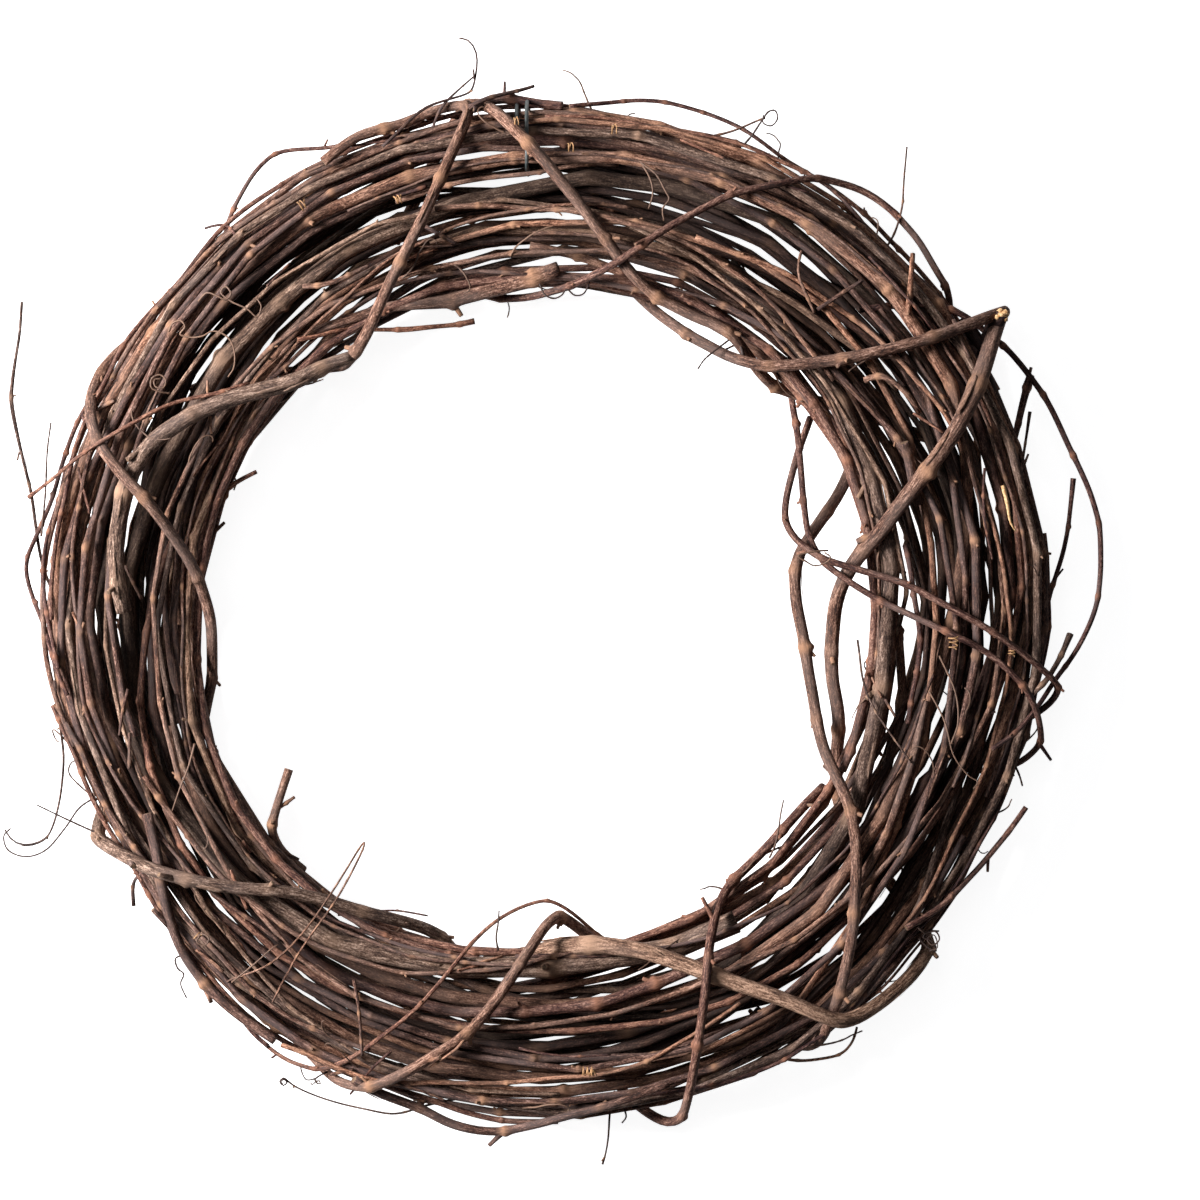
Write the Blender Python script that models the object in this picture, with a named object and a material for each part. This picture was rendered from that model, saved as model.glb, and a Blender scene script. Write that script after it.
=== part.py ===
"""Grapevine wreath: a flat ring of long wound canes, bound by thicker vines, with loose twigs.

The ring lies in the XY plane with +Z up and rests on z = 0. It is laid out in millimetres in its
own frame: a bearing runs clockwise from the top (+Y) in degrees, across is the distance outwards
from the middle of the ring's band, and up is the height over the ring's mid plane.
"""

import math
import random

import bmesh
import bpy
import numpy as np

MM = 0.001

# The ring's middle in the part's frame, which has the whole part's box centred on x = y = 0
RING_CENTRE = (-7.7, -6.7, 28.4)

# Inner and outer radius of the dense ring at every 30 degrees, clockwise from the top
BAND_EDGES = ((146, 229), (149, 231), (151, 232), (148, 231), (150, 225), (152, 231),
              (151, 230), (158, 228), (161, 218), (154, 226), (152, 222), (149, 227))
BAND_HALF_DEPTH = 23.0

# The canes are jointed at these stations, one internode apart
STATIONS = 24
STATION_STEP = 360.0 / STATIONS
FIRST_STATION = -2.0

# Ordinary canes: how many, how many internodes each one runs, and their diameters
CANE_COUNT = 26
CANE_INTERNODES = (38, 43)
CANE_DIAMETERS = (3.0, 7.0)
CANE_TAPER = 0.78
THIN_BIAS = 1.5
FULLNESS = 1.05
GOLDEN_ANGLE = 2.399963
TWIST = 0.7
DRIFTS = (0.55, 1.0)
WAVES = (1, 2, 3, 4)
WAVE_SWINGS = (0.12, 0.32)
WAVE_FADES = (0.6, 0.8)
OUTER_RIM_CANES = (1, 8, 15, 22)
INNER_RIM_CANES = (3, 13)
RIM_SWAY = 0.26
RIM_DEPTH = 0.6
CANE_SIDES = 5
SPRIG_SIDES = 4
LAYOUT_SEED = 31

# Clear distance kept between canes, and the extra share for canes that run aslant
CANE_GAP = 0.5
SLANT_ALLOWANCE = 1.05
SETTLING_STEPS = 460
PUSH_SHARE = 0.5
EASE_SHARE = 0.45
EASE_UNTIL = 0.7
ROUNDNESS = 2.5
THICK_CANE_FIRMNESS = 6.0
WALL_FIRMNESS = 1e6

# Vines on the outside: first depth under the band's edge, step along them, and thinning
VINE_SINK = 7.0
VINE_STEP = 3.0
VINE_GAP = 0.65
VINE_REACH = 24.0
HEIGHT_STEP = 0.4
THICKEST = 6.0
FREE_HEIGHT = 6.0
THINNING = 0.45
TIGHTENING = 50
EASING = 3
BENDING = 8
LONGEST_STRETCH = 60.0
LEAST_GAP = 0.3
LIFTING_ROUNDS = 12
LIFT_MARGIN = 0.05
MOST_LIFT = 2.0
NEAR_END_SHARE = 0.6

# The wire tie goes round the outer canes at the first station
WIRE_RADIUS = 1.1
WIRE_WALL_ACROSS = 12.0
WIRE_ROOM = 0.3

# Thick canes: diameter at both ends and the way they take, as bearing, across and up in shares
# of the band's half width and half depth
THICK_CANES = (
    ("thick_cane_upper_left", 9.5, 7.0,
     ((250, 0.3, -0.2), (285, 0.1, 0.55), (300, 0.0, 0.93), (340, 0.02, 0.93), (358, 0.25, 0.5),
      (390, 0.5, 0.0), (430, 0.4, -0.4))),
    ("thick_cane_right", 10.0, 8.0,
     ((28, -0.3, -0.2), (55, -0.8, 0.2), (88, -0.9, 0.35), (105, -0.85, 0.4), (130, -0.5, 0.3),
      (165, -0.1, -0.2), (210, 0.2, -0.5))),
    ("thick_cane_bottom", 11.5, 9.0,
     ((148, -0.8, 0.55), (163, -0.86, 0.42), (183, -0.93, 0.3), (203, -0.75, 0.6),
      (225, -0.3, 0.6), (260, 0.2, 0.2), (290, 0.4, -0.3))),
)

# Vines outside the ring in the order that they are laid: name, bark, diameters at both ends, and
# the way they take as bearing, angle round the band (0 outer edge, 90 front, 180 inner edge,
# 270 back) and free height over the band's edge
VINES = (
    ("loose_twig_left", "bark_red", 2.2, 1.6,
     ((308, 125, 0), (303, 108, 0), (300, 86, 0), (296, 67, 0), (290, 45, 0), (286, 8, 3),
      (283, 0, 13))),
    ("outer_vine_left", "bark_brown", 6.0, 5.4,
     ((243, 75, 0), (239, 66, 0), (235, 55, 0), (232, 43, 0), (228, 27, 0), (225, 16, 0),
      (221, 15, 0), (218, 21, 0), (212, 29, 0))),
    ("inner_stub_left", "bark_brown", 4.8, 4.2,
     ((223, 215, 0), (227, 190, 0), (231, 172, 3), (235, 174, 14), (238, 175, 25))),
    ("inner_twig_top", "bark_red", 2.4, 2.0,
     ((318, 130, 0), (324, 150, 0), (329, 172, 3), (334, 175, 8), (341, 176, 11), (347, 178, 13))),
    ("outer_vine_bottom", "bark_brown", 5.2, 4.4,
     ((202, 35, 0), (198, 20, 0), (194, 5, 1), (190, 0, 8), (186, 0, 7), (184, 2, 3),
      (181, 18, 0), (177, 33, 0), (171, 42, 0), (165, 46, 0))),
    ("outer_twig_top_left", "bark_red", 2.6, 2.1,
     ((318, -40, 0), (321, -12, 0), (324, 0, 3), (327, 0, 11), (329, 0, 13), (332, 0, 7),
      (335, 5, 1), (340, 17, 0), (346, 10, 0), (351, -20, 0), (354, -45, 0))),
    ("outer_loop_right", "bark_red", 3.4, 2.4,
     ((46, 80, 0), (50, 55, 0), (54, 25, 0), (57, 5, 2), (64, 0, 10), (70, 0, 16), (77, 0, 21),
      (83, 0, 22), (89, 0, 20), (94, 0, 8), (97, 5, 1), (100, 18, 0), (104, 35, 0), (107, 55, 0))),
    ("outer_twig_right", "bark_red", 2.6, 2.0,
     ((94, -40, 0), (90, -20, 0), (86, -3, 1), (83, 0, 4), (79, 0, 9), (76, 0, 14))),
    ("outer_twig_lower_right", "bark_red", 3.4, 3.0,
     ((131, 45, 0), (127, 25, 0), (122, 4, 0), (119, 0, 3), (115, 0, 5), (112, 0, 7))),
    ("binding_vine_top", "bark_brown", 6.4, 5.6,
     ((-22, -100, 0), (-18, -80, 0), (-13, -52, 0), (-9, -22, 0), (-6, 25, 0), (-3, 53, 0),
      (2, 81, 0), (6, 101, 0), (14, 135, 0), (19, 149, 0), (26, 154, 0), (33, 148, 0),
      (40, 165, 0), (47, 195, 0), (54, 225, 0), (60, 250, 0), (66, 272, 0))),
    ("inner_vine_top", "bark_brown", 8.4, 7.6,
     ((308, 195, 0), (314, 165, 0), (323, 145, 0), (330, 148, 0), (337, 156, 0), (344, 165, 0),
      (349, 168, 1), (355, 158, 1), (363, 145, 1))),
    ("binding_vine_upper_right", "bark_brown", 6.0, 7.0,
     ((16, 215, 0), (22, 185, 0), (30, 172, 0), (35, 168, 0), (40, 156, 0), (46, 135, 0),
      (51, 106, 0), (54, 76, 0), (56, 36, 0), (57, 4, 10))),
    ("binding_vine_right", "bark_brown", 9.0, 6.0,
     ((59, 3, 9), (61, 33, 0), (66, 74, 0), (69, 97, 0), (73, 121, 0), (78, 150, 0),
      (81, 172, 4), (86, 176, 12), (92, 178, 17), (98, 178, 16), (103, 176, 10), (108, 176, 3),
      (114, 192, 0), (120, 215, 0), (126, 243, 0), (131, 270, 0))),
    ("binding_vine_upper_left", "bark_brown", 5.8, 5.4,
     ((334, 30, 0), (339, 20, 0), (344, 10, 0), (349, 4, 2), (352, 16, 1), (350, 48, 0),
      (347, 67, 0), (345, 85, 0), (341, 102, 0), (337, 119, 0), (332, 144, 0), (328, 166, 1),
      (324, 182, 2), (318, 205, 0), (312, 235, 0), (306, 262, 0), (302, 275, 0))),
    ("thick_vine_left", "bark_grey", 9.0, 8.0,
     ((325, 170, 3), (320, 162, 0), (315, 148, 0), (311, 137, 0), (304, 116, 0), (297, 93, 0),
      (293, 83, 0), (284, 82, 0), (277, 88, 0), (270, 96, 0))),
    ("binding_vine_left", "bark_brown", 6.2, 5.6,
     ((309, -55, 0), (304, -22, 0), (300, 2, 1), (296, 6, 1), (293, 37, 0), (291, 58, 0),
      (288, 79, 0), (286, 98, 0), (282, 119, 0), (279, 140, 0), (274, 160, 0), (269, 172, 1),
      (264, 172, 1), (259, 188, 0), (253, 220, 0))),
    ("inner_loop_right", "bark_red", 3.8, 3.2,
     ((48, 215, 0), (53, 192, 0), (58, 178, 5), (64, 176, 19), (71, 176, 23), (77, 176, 21),
      (83, 166, 10), (88, 148, 2), (91, 121, 0), (93, 102, 0), (94, 85, 0), (96, 67, 0),
      (99, 46, 0), (102, 22, 0), (105, 2, 1), (108, -22, 0), (110, -55, 0))),
    ("inner_loop_right_short", "bark_red", 4.2, 3.4,
     ((54, 212, 0), (58, 190, 0), (62, 176, 4), (66, 176, 11), (71, 176, 16), (76, 174, 14),
      (80, 166, 7), (83, 150, 2), (86, 124, 0), (89, 102, 0), (92, 79, 0), (95, 51, 0),
      (97, 25, 0), (99, 2, 2), (102, -22, 0), (105, -55, 0))),
    ("binding_vine_lower_right", "bark_brown", 6.4, 5.6,
     ((64, 218, 0), (70, 196, 0), (75, 180, 4), (81, 176, 14), (88, 176, 24), (94, 176, 27),
      (100, 176, 26), (108, 176, 20), (115, 170, 9), (120, 150, 0), (125, 117, 0),
      (129, 101, 0), (133, 87, 0), (137, 73, 0), (141, 59, 0), (145, 38, 0), (148, 5, 0),
      (150, -35, 0), (152, -70, 0))),
    ("forked_vine_bottom", "bark_grey", 6.4, 10.0,
     ((128, -75, 0), (129, -40, 0), (131, -8, 2), (134, 5, 3), (137, 12, 1), (140, 24, 0),
      (144, 41, 0), (146, 61, 0), (150, 86, 0), (154, 105, 0), (157, 120, 0), (162, 138, 0),
      (167, 150, 0), (173, 158, 1), (179, 160, 1), (185, 168, 0), (191, 190, 0))),
    ("binding_vine_bottom_right", "bark_red", 5.4, 5.0,
     ((122, 198, 0), (127, 178, 1), (133, 168, 1), (140, 170, 1), (147, 163, 0), (151, 142, 0),
      (154, 121, 0), (157, 98, 0), (160, 75, 0), (162, 50, 0), (164, 18, 0), (166, 0, 4),
      (169, -22, 0), (172, -58, 0), (175, -90, 0))),
    ("binding_vine_bottom", "bark_brown", 6.0, 5.2,
     ((170, 215, 0), (174, 188, 0), (178, 172, 2), (181, 154, 0), (185, 126, 0), (188, 104, 0),
      (191, 84, 0), (194, 67, 0), (197, 44, 0), (200, 26, 0), (204, 4, 2), (209, -12, 0),
      (215, -42, 0), (221, -75, 0))),
    ("binding_vine_lower_left", "bark_grey", 7.6, 6.8,
     ((249, -66, 0), (246, -30, 0), (243, 3, 1), (241, 33, 0), (237, 53, 0), (234, 75, 0),
      (229, 97, 0), (225, 117, 0), (220, 140, 0), (215, 155, 0), (210, 158, 0), (205, 172, 0),
      (199, 198, 0), (193, 228, 0))),
    ("loose_twig_bottom", "bark_red", 2.4, 1.9,
     ((211, -20, 0), (208, 0, 4), (205, 12, 0), (203, 48, 0), (201, 76, 0), (199, 87, 0),
      (196, 116, 0), (193, 146, 0), (189, 172, 9), (184, 176, 18), (178, 176, 17),
      (174, 178, 10), (171, 192, 1), (166, 215, 0))),
    ("arching_vine_top", "bark_red", 4.4, 3.6,
     ((-14, 212, 0), (-9, 190, 0), (-4, 176, 1), (4, 156, 0), (9, 139, 0), (14, 121, 0),
      (17, 106, 0), (21, 89, 0), (24, 72, 0), (27, 58, 0), (31, 34, 0), (34, 12, 1),
      (37, 2, 5), (41, 0, 7), (45, 0, 6), (48, 4, 2), (51, 0, 0), (54, -25, 0), (57, -60, 0))),
    ("tendril_bottom", "bark_brown", 1.6, 0.9,
     ((164, 55, 0), (168, 35, 0), (171, 15, 0), (173, 0, 4), (173, 0, 12), (174, 0, 19))),
    ("tendril_left", "bark_grey", 1.6, 0.9,
     ((262, 30, 0), (258, 14, 0), (254, 2, 2), (250, 0, 6), (247, 0, 16), (245, 0, 28),
      (245, 0, 39), (246, 0, 45), (247, 0, 44), (248, 0, 42))),
    ("tendril_bottom_left", "bark_grey", 1.6, 0.9,
     ((187, -40, 0), (191, -20, 0), (195, 0, 3), (198, 0, 10), (202, 0, 13), (206, 0, 15),
      (208, 0, 13), (209, 0, 14), (208, 0, 17))),
    ("tendril_top", "bark_brown", 1.8, 0.9,
     ((341, 40, 0), (346, 24, 0), (350, 8, 0), (353, 0, 5), (353, 0, 12), (354, 0, 20),
      (354, 0, 27), (353, 0, 32), (352, 0, 32), (351, 0, 29))),
    ("far_twig_left", "bark_grey", 1.9, 1.1,
     ((266, -55, 0), (270, -35, 0), (275, -10, 0), (279, 0, 6), (283, 0, 14), (286, 0, 22),
      (292, 0, 35), (296, 0, 43), (301, 0, 52))),
)


# Small growths fused with the nearest cane or vine: diameters at root and tip, and the way from
# the root outwards, as for the vines
SPRIGS = (
    ("curl_top_right", 1.4, 0.9,
     ((19, 8, 0), (22, 0, 3), (24, 0, 9), (24.2, 0, 14), (25, 0, 18), (26, 0, 15), (25.4, 0, 11),
      (24.4, 0, 13))),
    ("tendril_upper_right", 1.3, 0.8,
     ((43, 8, 0), (41, 0, 9), (40, 0, 16), (39, 0, 24), (38, 0, 34))),
    ("twig_right", 2.0, 1.5, ((75, 32, 0), (72, 14, 3), (69, 2, 6))),
    ("branch_of_the_outer_loop", 1.8, 1.3, ((64, 0, 12), (66, 0, 6), (69, 14, 3))),
    ("stub_right", 3.0, 2.4, ((101, 26, 0), (97, 10, 3), (93, 0, 8))),
    ("stub_inner_left", 3.0, 2.4, ((290, 178, 0), (293, 176, 2), (296, 178, 6))),
    ("twig_top", 2.4, 1.6, ((351, 22, 0), (355, 5, 4), (359, 0, 10))),
    ("thorn_top", 1.5, 0.9, ((346, 24, 0), (350, 6, 4), (353, 0, 14))),
    ("vee_lower_left", 1.1, 0.8,
     ((222, 38, 1), (219, 80, 4), (218, 120, 5), (219, 165, 20), (220, 178, 33), (219, 168, 30),
      (217, 145, 12), (217, 100, 5), (216, 60, 4))),
    ("twig_lower_right", 1.8, 1.4,
     ((152, 14, 0), (150, 2, 3), (147, 0, 5), (145, 0, 8), (143, 10, 4))),
    ("tendril_inner_top_right", 1.1, 0.8, ((38, 172, 0), (36, 178, 5), (34, 180, 12))),
    ("twig_inner_lower_left", 1.3, 0.9,
     ((213, 166, 0), (208, 174, 4), (204, 178, 7), (200, 178, 9))),
    ("tendril_inner_lower_right", 1.0, 0.8,
     ((133, 168, 0), (130, 174, 5), (127, 177, 10), (125, 178, 8))),
)
SPRIG_GAP = 0.3
ROOT_REACH = 1.6
BESIDE_ROOT = 2.5
SPRIG_NUDGES = (0.0, 1.0, -1.0, 2.0, -2.0, 3.0, -3.0, 4.5, -4.5, 6.0, -6.0)

# Spurs, the short stubs at the joints: how many, length, share of the cane's thickness, lean
SPUR_COUNT = 34
SPUR_LENGTHS = (6.0, 13.0)
SPUR_SHARES = (0.42, 0.62)
SPUR_ENDS = (1.15, 0.8)
SPUR_SPIN = 0.9
SPUR_LEANS = (22.0, 55.0)
SPUR_SEED = 7

# The block that cuts the lowest vines flat at z = 0
GROUND_WIDTH = 700.0
GROUND_DEPTH = 20.0

BARK_COLOURS = {
    "bark_brown": (0.115, 0.062, 0.040),
    "bark_red": (0.105, 0.042, 0.030),
    "bark_grey": (0.150, 0.105, 0.078),
    "wire_green": (0.050, 0.075, 0.060),
}


def band_at(bearing):
    """Middle radius and half width of the dense ring at a bearing."""
    turn = (np.asarray(bearing, dtype=float) / 30.0) % 12.0
    index = np.floor(turn).astype(int) % 12
    share = (1.0 - np.cos(np.pi * (turn - np.floor(turn)))) / 2.0
    edges = np.array(BAND_EDGES, dtype=float)
    inner = edges[index, 0] * (1.0 - share) + edges[(index + 1) % 12, 0] * share
    outer = edges[index, 1] * (1.0 - share) + edges[(index + 1) % 12, 1] * share
    return (inner + outer) / 2.0, (outer - inner) / 2.0


def ring_point(bearing, across, up):
    """Point of the ring's frame at a bearing, a distance across the band and a height."""
    middle, half_width = band_at(bearing)
    angle = np.radians(bearing)
    radius = middle + across
    return np.stack([radius * np.sin(angle), radius * np.cos(angle), up + 0.0 * angle], axis=-1)


def follow(way, bearings):
    """Shares across and up at the bearings of a way given by a few hand-chosen points."""
    stops = [point[0] for point in way]
    across = np.interp(bearings, stops, [point[1] for point in way])
    up = np.interp(bearings, stops, [point[2] for point in way])
    return np.stack([across, up], axis=-1)


def thick_cane_plan(name, base, tip, way):
    """Stations, radii and wanted places of a thick cane."""
    first = round((way[0][0] - FIRST_STATION) / STATION_STEP)
    last = round((way[-1][0] - FIRST_STATION) / STATION_STEP)
    stations = np.arange(first, last + 1)
    wanted = follow(way, FIRST_STATION + stations * STATION_STEP)
    radii = np.linspace(base, tip, len(stations)) / 2.0
    return {"name": name, "bark": "bark_grey", "stations": stations, "radii": radii,
            "wanted": wanted, "firmness": THICK_CANE_FIRMNESS}


def ordinary_cane_plan(number, first, draw):
    """Stations, radii and wanted places of a cane that winds its own way round the ring."""
    stations = np.arange(first, first + draw.randint(*CANE_INTERNODES) + 1)
    angle = np.radians(FIRST_STATION + stations * STATION_STEP)
    run = np.linspace(0.0, 1.0, len(stations))
    thinnest, thickest = CANE_DIAMETERS
    base = thinnest + (thickest - thinnest) * draw.random() ** THIN_BIAS
    taper = np.linspace(1.0, CANE_TAPER, len(stations))
    if draw.random() < 0.5:
        taper = taper[::-1]
    spread = math.sqrt((number + 0.5) / CANE_COUNT)
    turned = number * GOLDEN_ANGLE + draw.uniform(-TWIST, TWIST) * (angle - angle[0])
    drift = draw.uniform(*DRIFTS)
    reach = spread * (1.0 + (drift - 1.0) * run)
    across = reach * np.cos(turned)
    up = reach * np.sin(turned)
    for wave in WAVES:
        swing = draw.uniform(*WAVE_SWINGS) / wave ** WAVE_FADES[0]
        rise = draw.uniform(*WAVE_SWINGS) / wave ** WAVE_FADES[1]
        across = across + swing * np.cos(wave * angle + draw.uniform(0.0, 2.0 * math.pi))
        up = up + rise * np.cos(wave * angle + draw.uniform(0.0, 2.0 * math.pi))
    if number in OUTER_RIM_CANES:
        across = 1.0 - RIM_SWAY * np.abs(across)
        up = RIM_DEPTH * up
    if number in INNER_RIM_CANES:
        across = RIM_SWAY * np.abs(across) - 1.0
        up = RIM_DEPTH * up
    bark = draw.choice(("bark_brown", "bark_brown", "bark_red", "bark_grey"))
    return {"name": "cane_%02d" % (number + 1), "bark": bark, "stations": stations,
            "radii": base / 2.0 * taper, "wanted": np.stack([across, up], axis=-1), "firmness": 1.0}


def plan_canes():
    """Every cane of the ring, each ordinary one starting where the one before it stops."""
    draw = random.Random(LAYOUT_SEED)
    plans = [thick_cane_plan(*cane) for cane in THICK_CANES]
    first = 0
    for number in range(CANE_COUNT):
        plan = ordinary_cane_plan(number, first % STATIONS, draw)
        plans.append(plan)
        first = plan["stations"][-1] + draw.choice((0, 1, -1))
    return plans


def push_apart(places, radii, firmness, first, second, push):
    """Add to push what moves the stretches between two rows of knots clear of each other."""
    start = places[first][:, None, :] - places[first][None, :, :]
    change = places[second][:, None, :] - places[second][None, :, :] - start
    square = np.maximum((change * change).sum(axis=2), 1e-9)
    nearest = np.clip(-(start * change).sum(axis=2) / square, 0.0, 1.0)
    apart = start + nearest[..., None] * change
    distance = np.maximum(np.sqrt((apart * apart).sum(axis=2)), 1e-6)
    thick_start = radii[first][:, None] + radii[first][None, :]
    thick_end = radii[second][:, None] + radii[second][None, :]
    wanted = (thick_start + nearest * (thick_end - thick_start)) * SLANT_ALLOWANCE + CANE_GAP
    short = np.maximum(wanted - distance, 0.0)
    np.fill_diagonal(short, 0.0)
    share = firmness[first][None, :] / (firmness[first][:, None] + firmness[first][None, :])
    move = apart / distance[..., None] * (short * share)[..., None]
    weight = (1.0 - nearest) ** 2 + nearest ** 2
    np.add.at(push, first, (move * ((1.0 - nearest) / weight)[..., None]).sum(axis=1))
    np.add.at(push, second, (move * (nearest / weight)[..., None]).sum(axis=1))


def settle(plans):
    """Places across and up, in millimetres, at which no two windings of the canes touch."""
    stations = np.concatenate([plan["stations"] for plan in plans]) % STATIONS
    radii = np.concatenate([plan["radii"] for plan in plans])
    firmness = np.concatenate([plan["firmness"] * plan["radii"] ** 2 for plan in plans])
    wanted = np.concatenate([plan["wanted"] for plan in plans])
    length = np.sqrt((wanted * wanted).sum(axis=1))
    wanted = wanted / np.maximum(length, 1.0)[:, None]
    ends = np.cumsum([len(plan["stations"]) for plan in plans]) - 1
    runs_on = np.ones(len(stations), dtype=bool)
    runs_on[ends] = False
    inside = runs_on.copy()
    inside[0] = False
    inside[ends[:-1] + 1] = False
    half_width = band_at(FIRST_STATION + stations * STATION_STEP)[1]
    limits = np.stack([half_width - radii, BAND_HALF_DEPTH - radii], axis=-1)
    wanted = wanted * limits

    wall = np.arange(-BAND_HALF_DEPTH, BAND_HALF_DEPTH + 0.1, WIRE_RADIUS)
    wall_places = np.stack([np.full(len(wall), WIRE_WALL_ACROSS), wall], axis=-1)
    places = np.concatenate([wanted, wall_places])
    radii = np.concatenate([radii, np.full(len(wall), WIRE_RADIUS + WIRE_ROOM)])
    firmness = np.concatenate([firmness, np.full(len(wall), WALL_FIRMNESS)])
    count = len(stations)
    rows = [np.flatnonzero(stations == number) for number in range(STATIONS)]
    starts = [row[runs_on[row]] for row in rows]
    rows[0] = np.concatenate([rows[0], np.arange(count, len(places))])

    for step in range(SETTLING_STEPS):
        push = np.zeros_like(places)
        for row, start in zip(rows, starts):
            push_apart(places, radii, firmness, row, row, push)
            push_apart(places, radii, firmness, start, start + 1, push)
        places[:count] += PUSH_SHARE * push[:count]
        ease = EASE_SHARE * max(0.0, 1.0 - step / (EASE_UNTIL * SETTLING_STEPS))
        shift = places[:count] - wanted
        middle = np.flatnonzero(inside)
        mean = (shift[middle - 1] + shift[middle + 1]) / 2.0
        places[middle] += ease * (mean - shift[middle])
        beyond = (np.abs(places[:count] / limits) ** ROUNDNESS).sum(axis=1) ** (1.0 / ROUNDNESS)
        places[:count] /= np.maximum(beyond, 1.0)[:, None]
        places = np.round(places, 7)
    return np.split(places[:count], ends[:-1] + 1)


def lay_canes(plans):
    """Centre lines and radii of all the canes in the ring's frame."""
    tubes = []
    for plan, places in zip(plans, settle(plans)):
        bearings = FIRST_STATION + plan["stations"] * STATION_STEP
        points = ring_point(bearings, places[:, 0], places[:, 1])
        tubes.append({"name": plan["name"], "bark": plan["bark"], "points": points,
                      "radii": plan["radii"] * FULLNESS})
    return tubes


def smooth_line(stops, step):
    """Points a step apart on the smooth curve through the stops, with each one's place on it."""
    stops = np.asarray(stops, dtype=float)
    padded = np.concatenate([[2 * stops[0] - stops[1]], stops, [2 * stops[-1] - stops[-2]]])
    line = []
    places = []
    for index in range(1, len(padded) - 2):
        before, start, end, after = padded[index - 1:index + 3]
        count = max(1, round(float(np.linalg.norm(end - start)) / step))
        for part in range(count):
            t = part / count
            line.append(0.5 * (2 * start + (end - before) * t
                               + (2 * before - 5 * start + 4 * end - after) * t ** 2
                               + (3 * start - before - 3 * end + after) * t ** 3))
            places.append(index - 1 + t)
    line.append(stops[-1])
    places.append(len(stops) - 1.0)
    return np.array(line), np.array(places)


def point_gaps(points, starts, ends, thickness):
    """Clear distance from each point to the nearest side of each stretch of tube."""
    along = ends - starts
    square = np.maximum((along * along).sum(axis=1), 1e-9)
    share = np.clip(((points[:, None, :] - starts) * along).sum(axis=2) / square, 0.0, 1.0)
    nearest = starts + share[..., None] * along
    return np.sqrt(((points[:, None, :] - nearest) ** 2).sum(axis=2)) - thickness


def stretch_gaps(start, end, starts, ends):
    """Distance between the middle lines of one stretch and of each of many."""
    one = end - start
    many = ends - starts
    between = start - starts
    a = max(float(one @ one), 1e-9)
    e = np.maximum((many * many).sum(axis=1), 1e-9)
    f = (many * between).sum(axis=1)
    c = between @ one
    b = many @ one
    det = np.maximum(a * e - b * b, 1e-9)
    s = np.clip((b * f - c * e) / det, 0.0, 1.0)
    t = np.clip((b * s + f) / e, 0.0, 1.0)
    s = np.clip((b * t - c) / a, 0.0, 1.0)
    apart = between + s[:, None] * one - t[:, None] * many
    return np.sqrt((apart * apart).sum(axis=1)), s


def closest_room(points, radii, starts, ends, thick):
    """Clear distance between a tube and the nearest of many stretches."""
    room = []
    for index in range(len(points) - 1):
        gaps, _ = stretch_gaps(points[index], points[index + 1], starts, ends)
        room.append((gaps - thick).min() - max(radii[index], radii[index + 1]))
    return min(room)


def tube_stretches(tubes):
    """Starts, ends and radii of every straight stretch of the tubes."""
    starts = np.concatenate([tube["points"][:-1] for tube in tubes])
    ends = np.concatenate([tube["points"][1:] for tube in tubes])
    thick = np.concatenate([np.maximum(tube["radii"][:-1], tube["radii"][1:]) for tube in tubes])
    return starts, ends, thick


def outward(bearings, angles):
    """Outward directions of the band's edge at bearings and angles round the band."""
    half_width = band_at(bearings)[1]
    across = np.cos(np.radians(angles)) / half_width
    up = np.sin(np.radians(angles)) / BAND_HALF_DEPTH
    length = np.sqrt(across ** 2 + up ** 2)
    turn = np.radians(bearings)
    return np.stack([across / length * np.sin(turn), across / length * np.cos(turn),
                     up / length], axis=-1)


def band_edge(bearings, angles, lifts):
    """Points over the band's edge at bearings, angles round the band and heights."""
    half_width = band_at(bearings)[1]
    across = (half_width + lifts) * np.cos(np.radians(angles))
    up = (BAND_HALF_DEPTH + lifts) * np.sin(np.radians(angles))
    return ring_point(bearings, across, up)


def thin_out(points, tolerance):
    """Indices of the points that keep a line within a tolerance of its shape."""
    kept = {0, len(points) - 1}
    spans = [(0, len(points) - 1)]
    while spans:
        low, high = spans.pop()
        if high - low < 2:
            continue
        inner = points[low + 1:high]
        gaps = point_gaps(inner, points[low:low + 1], points[high:high + 1], 0.0)[:, 0]
        worst = int(np.argmax(gaps))
        if gaps[worst] > tolerance or np.linalg.norm(points[high] - points[low]) > LONGEST_STRETCH:
            middle = low + 1 + worst
            kept.add(middle)
            spans += [(low, middle), (middle, high)]
    return sorted(kept)


def draw_tight(needed):
    """Heights of a string drawn over the heights that it needs, eased so that it bends gently."""
    height = needed.copy()
    for _ in range(TIGHTENING):
        mean = height.copy()
        mean[1:-1] = (height[:-2] + height[2:]) / 2.0
        height = np.maximum(needed, mean)
    padded = np.pad(height, EASING, mode="edge")
    count = len(height)
    spread = np.max([padded[shift:shift + count] for shift in range(2 * EASING + 1)], axis=0)
    weights = np.hanning(2 * EASING + 3)[1:-1]
    padded = np.pad(spread, EASING, mode="edge")
    eased = sum(weight * padded[shift:shift + count] for shift, weight in enumerate(weights))
    return eased / weights.sum()


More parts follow.
